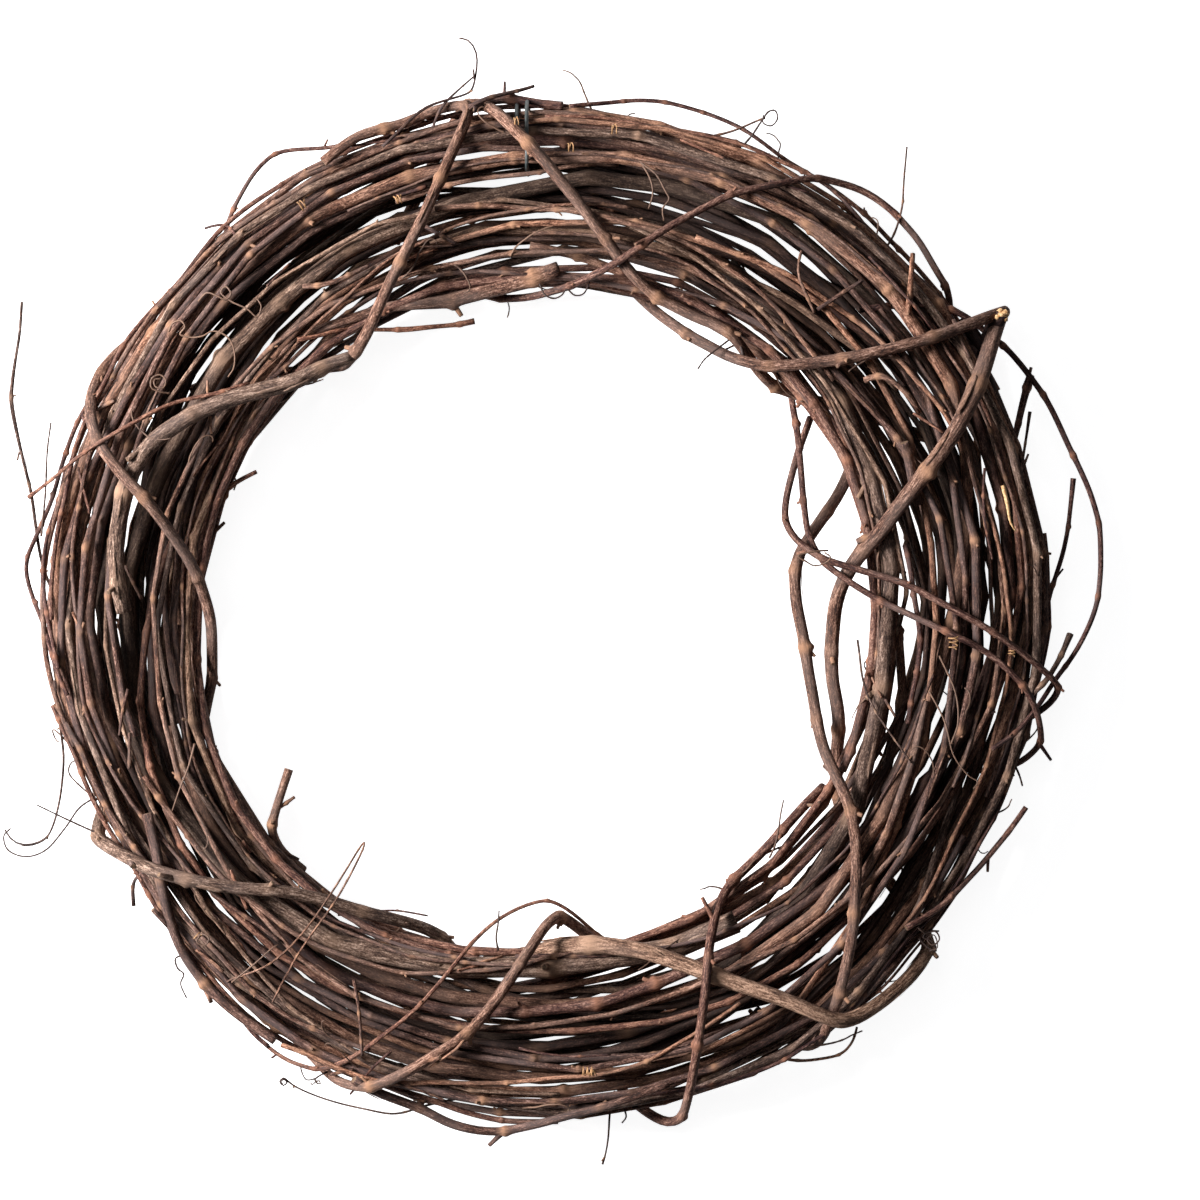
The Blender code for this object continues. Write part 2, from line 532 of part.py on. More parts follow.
def lay_vine(vine, tubes):
    """Lay one vine over what is already there, as a string drawn tight over it would lie."""
    name, bark, base, tip, way = vine
    stops = np.array(way, dtype=float)
    route = band_edge(stops[:, 0], stops[:, 1], stops[:, 2])
    line, places = smooth_line(route, VINE_STEP)
    knots = np.arange(len(stops))
    bearings = np.interp(places, knots, stops[:, 0])
    angles = np.interp(places, knots, stops[:, 1])
    lifts = np.interp(places, knots, stops[:, 2])
    normals = outward(bearings, angles)
    sunk = np.clip(1.0 - lifts / FREE_HEIGHT, 0.0, 1.0) * VINE_SINK
    line = line - normals * sunk[:, None]
    radii = np.linspace(base, tip, len(line)) / 2.0

    starts, ends, thick = tube_stretches(tubes)
    steps = np.arange(0.0, VINE_REACH, HEIGHT_STEP)
    needed = np.zeros(len(line))
    for index, point in enumerate(line):
        near = point_gaps(point[None], starts, ends, thick)[0] < VINE_REACH + THICKEST
        if not near.any():
            continue
        tries = point + steps[:, None] * normals[index]
        gaps = point_gaps(tries, starts[near], ends[near], thick[near]).min(axis=1)
        blocked = np.flatnonzero(gaps < radii[index] + VINE_GAP)
        if len(blocked):
            needed[index] = steps[blocked[-1]] + HEIGHT_STEP
    height = draw_tight(needed)
    line = line + normals * height[:, None]
    for _ in range(BENDING):
        line[1:-1] = (line[:-2] + 2.0 * line[1:-1] + line[2:]) / 4.0
    line = np.round(line, 5)
    kept = thin_out(line, THINNING)
    points = line[kept]
    radii = radii[kept]
    normals = normals[kept]
    for _ in range(LIFTING_ROUNDS):
        moved = False
        for index in range(len(points) - 1):
            gaps, share = stretch_gaps(points[index], points[index + 1], starts, ends)
            room = gaps - thick - max(radii[index], radii[index + 1]) - LEAST_GAP
            worst = int(np.argmin(room))
            if room[worst] < 0.0:
                lift = min(-room[worst] + LIFT_MARGIN, MOST_LIFT)
                first = lift * (1.0 - NEAR_END_SHARE * share[worst])
                second = lift * (1.0 - NEAR_END_SHARE * (1.0 - share[worst]))
                points[index] += normals[index] * first
                points[index + 1] += normals[index + 1] * second
                moved = True
        if not moved:
            break
    slack = closest_room(points, radii, starts, ends, thick) - LEAST_GAP
    if slack > 0.0:
        points = points - slack * normals
    return {"name": name, "bark": bark, "points": np.round(points, 5), "radii": radii}


def lay_wire(tubes):
    """The wire tie: one turn and a bit round the outer canes, down between them at its wall."""
    front = math.degrees(math.acos(WIRE_WALL_ACROSS / float(band_at(FIRST_STATION)[1])))
    there = ((-3.1, front - 20, 0), (-3.0, front - 36, 0), (-2.9, 8, 0), (-2.7, -30, 0),
             (-2.4, -front + 14, 0), (-2.0, -front, 0))
    back = ((-2.0, front, 0), (-1.9, front - 14, 0), (-1.8, 20, 0), (-1.7, -12, 0),
            (-1.6, -34, 0))
    first = lay_vine(("first", "wire_green", 2 * WIRE_RADIUS, 2 * WIRE_RADIUS, there), tubes)
    second = lay_vine(("second", "wire_green", 2 * WIRE_RADIUS, 2 * WIRE_RADIUS, back), tubes)
    points = np.concatenate([first["points"], second["points"]])
    return {"name": "wire_tie", "bark": "wire_green", "points": points,
            "radii": np.full(len(points), WIRE_RADIUS)}


def nearest_host(point, tubes):
    """Index of the tube nearest to a point, and the nearest point of its middle line."""
    best = None
    for index, tube in enumerate(tubes):
        starts = tube["points"][:-1]
        ends = tube["points"][1:]
        along = ends - starts
        share = ((point - starts) * along).sum(axis=1) / (along * along).sum(axis=1)
        nearest = starts + np.clip(share, 0.02, 0.98)[:, None] * along
        gaps = np.sqrt(((point - nearest) ** 2).sum(axis=1)) - tube["radii"][:-1]
        place = int(np.argmin(gaps))
        if tube["bark"] != "wire_green" and (best is None or gaps[place] < best[0]):
            best = (gaps[place], index, nearest[place])
    return best[1], best[2]


def grow_sprig(sprig, tubes):
    """A sprig from its host's middle line out along its way, lifted clear of everything else."""
    name, base, tip, way = sprig
    stops = np.array(way, dtype=float)
    route = band_edge(stops[:, 0], stops[:, 1], stops[:, 2])
    host, root = nearest_host(route[0], tubes)
    free = {"name": name, "bark": tubes[host]["bark"]}
    others = [tube for index, tube in enumerate(tubes) if index != host]
    laid = lay_vine((name, free["bark"], base, tip, way), others)
    thickness = tubes[host]["radii"].max()
    off_root = np.sqrt(((laid["points"] - root) ** 2).sum(axis=1)) > ROOT_REACH * thickness
    free["points"] = np.concatenate([[root], laid["points"][off_root]])
    free["radii"] = np.concatenate([[base / 2.0], laid["radii"][off_root]])
    return host, free


def is_clear(sprig, host, tubes, grown):
    """Whether a sprig keeps its gap to every other tube and to what has grown already."""
    root = sprig["points"][0]
    others = [tube for index, tube in enumerate(tubes) if index != host]
    starts, ends, thick = tube_stretches(others + [other for _, other in grown])
    for start, end, radius in zip(sprig["points"][:-1], sprig["points"][1:], sprig["radii"]):
        gaps, _ = stretch_gaps(start, end, starts, ends)
        if (gaps - thick - radius).min() < SPRIG_GAP:
            return False
    starts, ends, thick = tube_stretches([tubes[host]])
    reach = tubes[host]["radii"].max()
    for start, end, radius in zip(sprig["points"][1:-1], sprig["points"][2:], sprig["radii"][1:]):
        gaps, _ = stretch_gaps(start, end, starts, ends)
        beside = np.linalg.norm(start - root) > BESIDE_ROOT * reach
        if beside and (gaps - thick - radius).min() < SPRIG_GAP:
            return False
    return True


def spur(host, knot, tubes, draw):
    """A short stub at a joint of its host, leaning out and along it."""
    tube = tubes[host]
    root = tube["points"][knot]
    along = tube["points"][knot + 1] - root
    along = along / np.linalg.norm(along) * draw.choice((1.0, -1.0))
    turn = math.atan2(root[0], root[1])
    middle, _ = band_at(math.degrees(turn))
    centre = np.array([middle * math.sin(turn), middle * math.cos(turn), 0.0])
    out = root - centre
    out = out - along * (out @ along)
    out = out / np.linalg.norm(out)
    side = np.cross(along, out)
    spin = draw.uniform(-SPUR_SPIN, SPUR_SPIN)
    out = out * math.cos(spin) + side * math.sin(spin)
    lean = math.radians(draw.uniform(*SPUR_LEANS))
    length = draw.uniform(*SPUR_LENGTHS)
    radius = tube["radii"][knot] * draw.uniform(*SPUR_SHARES)
    tip = root + length * (along * math.cos(lean) + out * math.sin(lean))
    return {"name": "spur", "bark": tube["bark"], "points": np.round([root, tip], 5),
            "radii": radius * np.array(SPUR_ENDS)}


def grow_all(tubes):
    """Every sprig and spur that finds room, each with the index of its host."""
    grown = []
    for name, base, tip, way in SPRIGS:
        for nudge in SPRIG_NUDGES:
            moved = [(bearing + nudge, angle, lift) for bearing, angle, lift in way]
            host, tube = grow_sprig((name, base, tip, moved), tubes)
            if is_clear(tube, host, tubes, grown):
                grown.append((host, tube))
                break
    draw = random.Random(SPUR_SEED)
    wanted = len(grown) + SPUR_COUNT
    while len(grown) < wanted:
        host = draw.randrange(len(tubes))
        knot = draw.randrange(1, len(tubes[host]["points"]) - 1)
        tube = spur(host, knot, tubes, draw)
        if tube["bark"] != "wire_green" and is_clear(tube, host, tubes, grown):
            grown.append((host, tube))
    return grown


def lay_wreath():
    """All tubes of the wreath in the ring's frame, and what has grown on them."""
    tubes = lay_canes(plan_canes())
    tubes.append(lay_wire(tubes))
    for vine in VINES:
        tubes.append(lay_vine(vine, tubes))
    return tubes, grow_all(tubes)


def clear_scene():
    for old in list(bpy.data.objects):
        bpy.data.objects.remove(old, do_unlink=True)


def new_collection(name):
    collection = bpy.data.collections.new(name)
    bpy.context.scene.collection.children.link(collection)
    return collection


def bark_material(name):
    """Principled material of a bark or of the wire."""
    material = bpy.data.materials.new(name)
    material.use_nodes = True
    shader = material.node_tree.nodes["Principled BSDF"]
    shader.inputs["Base Color"].default_value = (*BARK_COLOURS[name], 1.0)
    shader.inputs["Roughness"].default_value = 0.45 if name == "wire_green" else 0.85
    shader.inputs["Metallic"].default_value = 0.0
    return material


def section_curve(name, sides, collection):
    """A regular section, one millimetre from its middle to its corners, that tubes are swept by."""
    data = bpy.data.curves.new(name, "CURVE")
    data.dimensions = "2D"
    data.fill_mode = "NONE"
    spline = data.splines.new("POLY")
    spline.points.add(sides - 1)
    spline.use_cyclic_u = True
    for index, corner in enumerate(spline.points):
        angle = 2.0 * math.pi * index / sides
        corner.co = (MM * math.cos(angle), MM * math.sin(angle), 0.0, 1.0)
    section = bpy.data.objects.new(name, data)
    section.hide_render = True
    collection.objects.link(section)
    return section


def to_mesh(obj, collection):
    """Replace an object by the closed mesh that it evaluates to."""
    bpy.context.view_layer.update()
    evaluated = obj.evaluated_get(bpy.context.evaluated_depsgraph_get())
    mesh = bpy.data.meshes.new_from_object(evaluated)
    form = bmesh.new()
    form.from_mesh(mesh)
    bmesh.ops.remove_doubles(form, verts=form.verts, dist=1e-6)
    bmesh.ops.recalc_face_normals(form, faces=form.faces)
    form.to_mesh(mesh)
    form.free()
    name = obj.name
    place = obj.matrix_world.copy()
    materials = list(obj.data.materials)
    bpy.data.objects.remove(obj, do_unlink=True)
    solid = bpy.data.objects.new(name, mesh)
    solid.matrix_world = place
    collection.objects.link(solid)
    mesh.materials.clear()
    for material in materials:
        mesh.materials.append(material)
    return solid


def sweep_tube(tube, section, material, collection):
    """A closed tube along its points, with a radius of its own at each."""
    data = bpy.data.curves.new(tube["name"], "CURVE")
    data.dimensions = "3D"
    data.bevel_mode = "OBJECT"
    data.bevel_object = section
    data.use_fill_caps = True
    spline = data.splines.new("POLY")
    spline.points.add(len(tube["points"]) - 1)
    for knot, point, radius in zip(spline.points, tube["points"], tube["radii"]):
        place = (np.asarray(point) + RING_CENTRE) * MM
        knot.co = (place[0], place[1], place[2], 1.0)
        knot.radius = radius
    data.materials.append(material)
    obj = bpy.data.objects.new(tube["name"], data)
    collection.objects.link(obj)
    return to_mesh(obj, collection)


def fuse(host, growths, collection):
    """Join growths to their host and take the loose ones away."""
    joined = new_collection("growths_of_" + host.name)
    for growth in growths:
        collection.objects.unlink(growth)
        joined.objects.link(growth)
    union = host.modifiers.new("growths", "BOOLEAN")
    union.operation = "UNION"
    union.operand_type = "COLLECTION"
    union.collection = joined
    union.solver = "EXACT"
    solid = to_mesh(host, collection)
    for growth in growths:
        bpy.data.objects.remove(growth, do_unlink=True)
    bpy.data.collections.remove(joined)
    return solid


def ground_block(collection):
    """The block under z = 0 that cuts the resting places flat."""
    bpy.ops.mesh.primitive_cube_add(size=1.0, location=(0.0, 0.0, -GROUND_DEPTH * MM / 2.0))
    block = bpy.context.active_object
    block.name = "ground"
    block.scale = (GROUND_WIDTH * MM, GROUND_WIDTH * MM, GROUND_DEPTH * MM)
    block.hide_render = True
    block.display_type = "WIRE"
    for owner in list(block.users_collection):
        owner.objects.unlink(block)
    collection.objects.link(block)
    return block


def rest_flat(solid, ground):
    """Cut a vine flat where it reaches under z = 0."""
    cut = solid.modifiers.new("rest", "BOOLEAN")
    cut.operation = "DIFFERENCE"
    cut.object = ground
    cut.solver = "EXACT"


def build():
    clear_scene()
    wreath = new_collection("grapevine_wreath")
    cutters = new_collection("cutters")
    materials = {name: bark_material(name) for name in BARK_COLOURS}
    cane_section = section_curve("cane_section", CANE_SIDES, cutters)
    sprig_section = section_curve("sprig_section", SPRIG_SIDES, cutters)
    tubes, grown = lay_wreath()
    solids = [sweep_tube(tube, cane_section, materials[tube["bark"]], wreath) for tube in tubes]
    growths = {}
    for host, tube in grown:
        solid = sweep_tube(tube, sprig_section, materials[tube["bark"]], wreath)
        growths.setdefault(host, []).append(solid)
    for host, found in growths.items():
        solids[host] = fuse(solids[host], found, wreath)
    bpy.data.objects.remove(cane_section, do_unlink=True)
    bpy.data.objects.remove(sprig_section, do_unlink=True)
    ground = ground_block(cutters)
    for solid in solids:
        if min(corner[2] for corner in solid.bound_box) < 0.0:
            rest_flat(solid, ground)


build()
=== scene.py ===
"""Looks of the grapevine wreath: fine bark, joints, buds, tendrils and peeling strips.

The canes and vines are laid out once more in the way that the model's source lays them, so that
each finer piece keeps the form of the node that it stands for. The layout is in millimetres in
the ring's own frame: a bearing runs clockwise from the top (+Y) in degrees, across is the distance
outwards from the middle of the ring's band, and up is the height over the ring's mid plane.
"""

import math
import random

import bmesh
import bpy
import numpy as np
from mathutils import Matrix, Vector


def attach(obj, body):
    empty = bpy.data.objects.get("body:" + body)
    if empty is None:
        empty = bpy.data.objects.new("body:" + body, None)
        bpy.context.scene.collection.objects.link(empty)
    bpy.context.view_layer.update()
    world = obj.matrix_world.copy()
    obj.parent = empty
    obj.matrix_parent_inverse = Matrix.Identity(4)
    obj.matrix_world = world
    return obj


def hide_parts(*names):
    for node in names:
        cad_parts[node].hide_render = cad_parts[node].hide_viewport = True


MM = 0.001

# The ring's middle in the part's frame, which has the whole part's box centred on x = y = 0
RING_CENTRE = (-7.7, -6.7, 28.4)

# Inner and outer radius of the dense ring at every 30 degrees, clockwise from the top
BAND_EDGES = ((146, 229), (149, 231), (151, 232), (148, 231), (150, 225), (152, 231),
              (151, 230), (158, 228), (161, 218), (154, 226), (152, 222), (149, 227))
BAND_HALF_DEPTH = 23.0

# The canes are jointed at these stations, one internode apart
STATIONS = 24
STATION_STEP = 360.0 / STATIONS
FIRST_STATION = -2.0

# Ordinary canes: how many, how many internodes each one runs, and their diameters
CANE_COUNT = 26
CANE_INTERNODES = (38, 43)
CANE_DIAMETERS = (3.0, 7.0)
CANE_TAPER = 0.78
THIN_BIAS = 1.5
FULLNESS = 1.05
GOLDEN_ANGLE = 2.399963
TWIST = 0.7
DRIFTS = (0.55, 1.0)
WAVES = (1, 2, 3, 4)
WAVE_SWINGS = (0.12, 0.32)
WAVE_FADES = (0.6, 0.8)
OUTER_RIM_CANES = (1, 8, 15, 22)
INNER_RIM_CANES = (3, 13)
RIM_SWAY = 0.26
RIM_DEPTH = 0.6
LAYOUT_SEED = 31

# Clear distance kept between canes, and the extra share for canes that run aslant
CANE_GAP = 0.5
SLANT_ALLOWANCE = 1.05
SETTLING_STEPS = 460
PUSH_SHARE = 0.5
EASE_SHARE = 0.45
EASE_UNTIL = 0.7
ROUNDNESS = 2.5
THICK_CANE_FIRMNESS = 6.0
WALL_FIRMNESS = 1e6

# Vines on the outside: first depth under the band's edge, step along them, and thinning
VINE_SINK = 7.0
VINE_STEP = 3.0
VINE_GAP = 0.65
VINE_REACH = 24.0
HEIGHT_STEP = 0.4
THICKEST = 6.0
FREE_HEIGHT = 6.0
THINNING = 0.45
TIGHTENING = 50
EASING = 3
BENDING = 8
LONGEST_STRETCH = 60.0
LEAST_GAP = 0.3
LIFTING_ROUNDS = 12
LIFT_MARGIN = 0.05
MOST_LIFT = 2.0
NEAR_END_SHARE = 0.6

# The wire tie goes round the outer canes at the first station
WIRE_RADIUS = 1.1
WIRE_WALL_ACROSS = 12.0
WIRE_ROOM = 0.3

# Thick canes: diameter at both ends and the way they take, as bearing, across and up in shares
# of the band's half width and half depth
THICK_CANES = (
    ("thick_cane_upper_left", 9.5, 7.0,
     ((250, 0.3, -0.2), (285, 0.1, 0.55), (300, 0.0, 0.93), (340, 0.02, 0.93), (358, 0.25, 0.5),
      (390, 0.5, 0.0), (430, 0.4, -0.4))),
    ("thick_cane_right", 10.0, 8.0,
     ((28, -0.3, -0.2), (55, -0.8, 0.2), (88, -0.9, 0.35), (105, -0.85, 0.4), (130, -0.5, 0.3),
      (165, -0.1, -0.2), (210, 0.2, -0.5))),
    ("thick_cane_bottom", 11.5, 9.0,
     ((148, -0.8, 0.55), (163, -0.86, 0.42), (183, -0.93, 0.3), (203, -0.75, 0.6),
      (225, -0.3, 0.6), (260, 0.2, 0.2), (290, 0.4, -0.3))),
)

# Vines outside the ring in the order that they are laid: name, bark, diameters at both ends, and
# the way they take as bearing, angle round the band (0 outer edge, 90 front, 180 inner edge,
# 270 back) and free height over the band's edge
VINES = (
    ("loose_twig_left", "bark_red", 2.2, 1.6,
     ((308, 125, 0), (303, 108, 0), (300, 86, 0), (296, 67, 0), (290, 45, 0), (286, 8, 3),
      (283, 0, 13))),
    ("outer_vine_left", "bark_brown", 6.0, 5.4,
     ((243, 75, 0), (239, 66, 0), (235, 55, 0), (232, 43, 0), (228, 27, 0), (225, 16, 0),
      (221, 15, 0), (218, 21, 0), (212, 29, 0))),
    ("inner_stub_left", "bark_brown", 4.8, 4.2,
     ((223, 215, 0), (227, 190, 0), (231, 172, 3), (235, 174, 14), (238, 175, 25))),
    ("inner_twig_top", "bark_red", 2.4, 2.0,
     ((318, 130, 0), (324, 150, 0), (329, 172, 3), (334, 175, 8), (341, 176, 11), (347, 178, 13))),
    ("outer_vine_bottom", "bark_brown", 5.2, 4.4,
     ((202, 35, 0), (198, 20, 0), (194, 5, 1), (190, 0, 8), (186, 0, 7), (184, 2, 3),
      (181, 18, 0), (177, 33, 0), (171, 42, 0), (165, 46, 0))),
    ("outer_twig_top_left", "bark_red", 2.6, 2.1,
     ((318, -40, 0), (321, -12, 0), (324, 0, 3), (327, 0, 11), (329, 0, 13), (332, 0, 7),
      (335, 5, 1), (340, 17, 0), (346, 10, 0), (351, -20, 0), (354, -45, 0))),
    ("outer_loop_right", "bark_red", 3.4, 2.4,
     ((46, 80, 0), (50, 55, 0), (54, 25, 0), (57, 5, 2), (64, 0, 10), (70, 0, 16), (77, 0, 21),
      (83, 0, 22), (89, 0, 20), (94, 0, 8), (97, 5, 1), (100, 18, 0), (104, 35, 0), (107, 55, 0))),
    ("outer_twig_right", "bark_red", 2.6, 2.0,
     ((94, -40, 0), (90, -20, 0), (86, -3, 1), (83, 0, 4), (79, 0, 9), (76, 0, 14))),
    ("outer_twig_lower_right", "bark_red", 3.4, 3.0,
     ((131, 45, 0), (127, 25, 0), (122, 4, 0), (119, 0, 3), (115, 0, 5), (112, 0, 7))),
    ("binding_vine_top", "bark_brown", 6.4, 5.6,
     ((-22, -100, 0), (-18, -80, 0), (-13, -52, 0), (-9, -22, 0), (-6, 25, 0), (-3, 53, 0),
      (2, 81, 0), (6, 101, 0), (14, 135, 0), (19, 149, 0), (26, 154, 0), (33, 148, 0),
      (40, 165, 0), (47, 195, 0), (54, 225, 0), (60, 250, 0), (66, 272, 0))),
    ("inner_vine_top", "bark_brown", 8.4, 7.6,
     ((308, 195, 0), (314, 165, 0), (323, 145, 0), (330, 148, 0), (337, 156, 0), (344, 165, 0),
      (349, 168, 1), (355, 158, 1), (363, 145, 1))),
    ("binding_vine_upper_right", "bark_brown", 6.0, 7.0,
     ((16, 215, 0), (22, 185, 0), (30, 172, 0), (35, 168, 0), (40, 156, 0), (46, 135, 0),
      (51, 106, 0), (54, 76, 0), (56, 36, 0), (57, 4, 10))),
    ("binding_vine_right", "bark_brown", 9.0, 6.0,
     ((59, 3, 9), (61, 33, 0), (66, 74, 0), (69, 97, 0), (73, 121, 0), (78, 150, 0),
      (81, 172, 4), (86, 176, 12), (92, 178, 17), (98, 178, 16), (103, 176, 10), (108, 176, 3),
      (114, 192, 0), (120, 215, 0), (126, 243, 0), (131, 270, 0))),
    ("binding_vine_upper_left", "bark_brown", 5.8, 5.4,
     ((334, 30, 0), (339, 20, 0), (344, 10, 0), (349, 4, 2), (352, 16, 1), (350, 48, 0),
      (347, 67, 0), (345, 85, 0), (341, 102, 0), (337, 119, 0), (332, 144, 0), (328, 166, 1),
      (324, 182, 2), (318, 205, 0), (312, 235, 0), (306, 262, 0), (302, 275, 0))),
    ("thick_vine_left", "bark_grey", 9.0, 8.0,
     ((325, 170, 3), (320, 162, 0), (315, 148, 0), (311, 137, 0), (304, 116, 0), (297, 93, 0),
      (293, 83, 0), (284, 82, 0), (277, 88, 0), (270, 96, 0))),
    ("binding_vine_left", "bark_brown", 6.2, 5.6,
     ((309, -55, 0), (304, -22, 0), (300, 2, 1), (296, 6, 1), (293, 37, 0), (291, 58, 0),
      (288, 79, 0), (286, 98, 0), (282, 119, 0), (279, 140, 0), (274, 160, 0), (269, 172, 1),
      (264, 172, 1), (259, 188, 0), (253, 220, 0))),
    ("inner_loop_right", "bark_red", 3.8, 3.2,
     ((48, 215, 0), (53, 192, 0), (58, 178, 5), (64, 176, 19), (71, 176, 23), (77, 176, 21),
      (83, 166, 10), (88, 148, 2), (91, 121, 0), (93, 102, 0), (94, 85, 0), (96, 67, 0),
      (99, 46, 0), (102, 22, 0), (105, 2, 1), (108, -22, 0), (110, -55, 0))),
    ("inner_loop_right_short", "bark_red", 4.2, 3.4,
     ((54, 212, 0), (58, 190, 0), (62, 176, 4), (66, 176, 11), (71, 176, 16), (76, 174, 14),
      (80, 166, 7), (83, 150, 2), (86, 124, 0), (89, 102, 0), (92, 79, 0), (95, 51, 0),
      (97, 25, 0), (99, 2, 2), (102, -22, 0), (105, -55, 0))),
    ("binding_vine_lower_right", "bark_brown", 6.4, 5.6,
     ((64, 218, 0), (70, 196, 0), (75, 180, 4), (81, 176, 14), (88, 176, 24), (94, 176, 27),
      (100, 176, 26), (108, 176, 20), (115, 170, 9), (120, 150, 0), (125, 117, 0),
      (129, 101, 0), (133, 87, 0), (137, 73, 0), (141, 59, 0), (145, 38, 0), (148, 5, 0),
      (150, -35, 0), (152, -70, 0))),
    ("forked_vine_bottom", "bark_grey", 6.4, 10.0,
     ((128, -75, 0), (129, -40, 0), (131, -8, 2), (134, 5, 3), (137, 12, 1), (140, 24, 0),
      (144, 41, 0), (146, 61, 0), (150, 86, 0), (154, 105, 0), (157, 120, 0), (162, 138, 0),
      (167, 150, 0), (173, 158, 1), (179, 160, 1), (185, 168, 0), (191, 190, 0))),
    ("binding_vine_bottom_right", "bark_red", 5.4, 5.0,
     ((122, 198, 0), (127, 178, 1), (133, 168, 1), (140, 170, 1), (147, 163, 0), (151, 142, 0),
      (154, 121, 0), (157, 98, 0), (160, 75, 0), (162, 50, 0), (164, 18, 0), (166, 0, 4),
      (169, -22, 0), (172, -58, 0), (175, -90, 0))),
    ("binding_vine_bottom", "bark_brown", 6.0, 5.2,
     ((170, 215, 0), (174, 188, 0), (178, 172, 2), (181, 154, 0), (185, 126, 0), (188, 104, 0),
      (191, 84, 0), (194, 67, 0), (197, 44, 0), (200, 26, 0), (204, 4, 2), (209, -12, 0),
      (215, -42, 0), (221, -75, 0))),
    ("binding_vine_lower_left", "bark_grey", 7.6, 6.8,
     ((249, -66, 0), (246, -30, 0), (243, 3, 1), (241, 33, 0), (237, 53, 0), (234, 75, 0),
      (229, 97, 0), (225, 117, 0), (220, 140, 0), (215, 155, 0), (210, 158, 0), (205, 172, 0),
      (199, 198, 0), (193, 228, 0))),
    ("loose_twig_bottom", "bark_red", 2.4, 1.9,
     ((211, -20, 0), (208, 0, 4), (205, 12, 0), (203, 48, 0), (201, 76, 0), (199, 87, 0),
      (196, 116, 0), (193, 146, 0), (189, 172, 9), (184, 176, 18), (178, 176, 17),
      (174, 178, 10), (171, 192, 1), (166, 215, 0))),
    ("arching_vine_top", "bark_red", 4.4, 3.6,
     ((-14, 212, 0), (-9, 190, 0), (-4, 176, 1), (4, 156, 0), (9, 139, 0), (14, 121, 0),
      (17, 106, 0), (21, 89, 0), (24, 72, 0), (27, 58, 0), (31, 34, 0), (34, 12, 1),
      (37, 2, 5), (41, 0, 7), (45, 0, 6), (48, 4, 2), (51, 0, 0), (54, -25, 0), (57, -60, 0))),
    ("tendril_bottom", "bark_brown", 1.6, 0.9,
     ((164, 55, 0), (168, 35, 0), (171, 15, 0), (173, 0, 4), (173, 0, 12), (174, 0, 19))),
    ("tendril_left", "bark_grey", 1.6, 0.9,
     ((262, 30, 0), (258, 14, 0), (254, 2, 2), (250, 0, 6), (247, 0, 16), (245, 0, 28),
      (245, 0, 39), (246, 0, 45), (247, 0, 44), (248, 0, 42))),
    ("tendril_bottom_left", "bark_grey", 1.6, 0.9,
     ((187, -40, 0), (191, -20, 0), (195, 0, 3), (198, 0, 10), (202, 0, 13), (206, 0, 15),
      (208, 0, 13), (209, 0, 14), (208, 0, 17))),
    ("tendril_top", "bark_brown", 1.8, 0.9,
     ((341, 40, 0), (346, 24, 0), (350, 8, 0), (353, 0, 5), (353, 0, 12), (354, 0, 20),
      (354, 0, 27), (353, 0, 32), (352, 0, 32), (351, 0, 29))),
    ("far_twig_left", "bark_grey", 1.9, 1.1,
     ((266, -55, 0), (270, -35, 0), (275, -10, 0), (279, 0, 6), (283, 0, 14), (286, 0, 22),
      (292, 0, 35), (296, 0, 43), (301, 0, 52))),
)

# Small growths fused with the nearest cane or vine: diameters at root and tip, and the way from
# the root outwards, as for the vines
SPRIGS = (
    ("curl_top_right", 1.4, 0.9,
     ((19, 8, 0), (22, 0, 3), (24, 0, 9), (24.2, 0, 14), (25, 0, 18), (26, 0, 15), (25.4, 0, 11),
      (24.4, 0, 13))),
    ("tendril_upper_right", 1.3, 0.8,
     ((43, 8, 0), (41, 0, 9), (40, 0, 16), (39, 0, 24), (38, 0, 34))),
    ("twig_right", 2.0, 1.5, ((75, 32, 0), (72, 14, 3), (69, 2, 6))),
    ("branch_of_the_outer_loop", 1.8, 1.3, ((64, 0, 12), (66, 0, 6), (69, 14, 3))),
    ("stub_right", 3.0, 2.4, ((101, 26, 0), (97, 10, 3), (93, 0, 8))),
    ("stub_inner_left", 3.0, 2.4, ((290, 178, 0), (293, 176, 2), (296, 178, 6))),
    ("twig_top", 2.4, 1.6, ((351, 22, 0), (355, 5, 4), (359, 0, 10))),
    ("thorn_top", 1.5, 0.9, ((346, 24, 0), (350, 6, 4), (353, 0, 14))),
    ("vee_lower_left", 1.1, 0.8,
     ((222, 38, 1), (219, 80, 4), (218, 120, 5), (219, 165, 20), (220, 178, 33), (219, 168, 30),
      (217, 145, 12), (217, 100, 5), (216, 60, 4))),
    ("twig_lower_right", 1.8, 1.4,
     ((152, 14, 0), (150, 2, 3), (147, 0, 5), (145, 0, 8), (143, 10, 4))),
    ("tendril_inner_top_right", 1.1, 0.8, ((38, 172, 0), (36, 178, 5), (34, 180, 12))),
    ("twig_inner_lower_left", 1.3, 0.9,
     ((213, 166, 0), (208, 174, 4), (204, 178, 7), (200, 178, 9))),
    ("tendril_inner_lower_right", 1.0, 0.8,
     ((133, 168, 0), (130, 174, 5), (127, 177, 10), (125, 178, 8))),
)
SPRIG_GAP = 0.3
ROOT_REACH = 1.6
BESIDE_ROOT = 2.5
ROOT_PLACES = (0.02, 0.98)
SPRIG_NUDGES = (0.0, 1.0, -1.0, 2.0, -2.0, 3.0, -3.0, 4.5, -4.5, 6.0, -6.0)

# Spurs, the short stubs at the joints: how many, length, share of the cane's thickness, lean
SPUR_COUNT = 34
SPUR_LENGTHS = (6.0, 13.0)
SPUR_SHARES = (0.42, 0.62)
SPUR_ENDS = (1.15, 0.8)
SPUR_SPIN = 0.9
SPUR_LEANS = (22.0, 55.0)
SPUR_SEED = 7

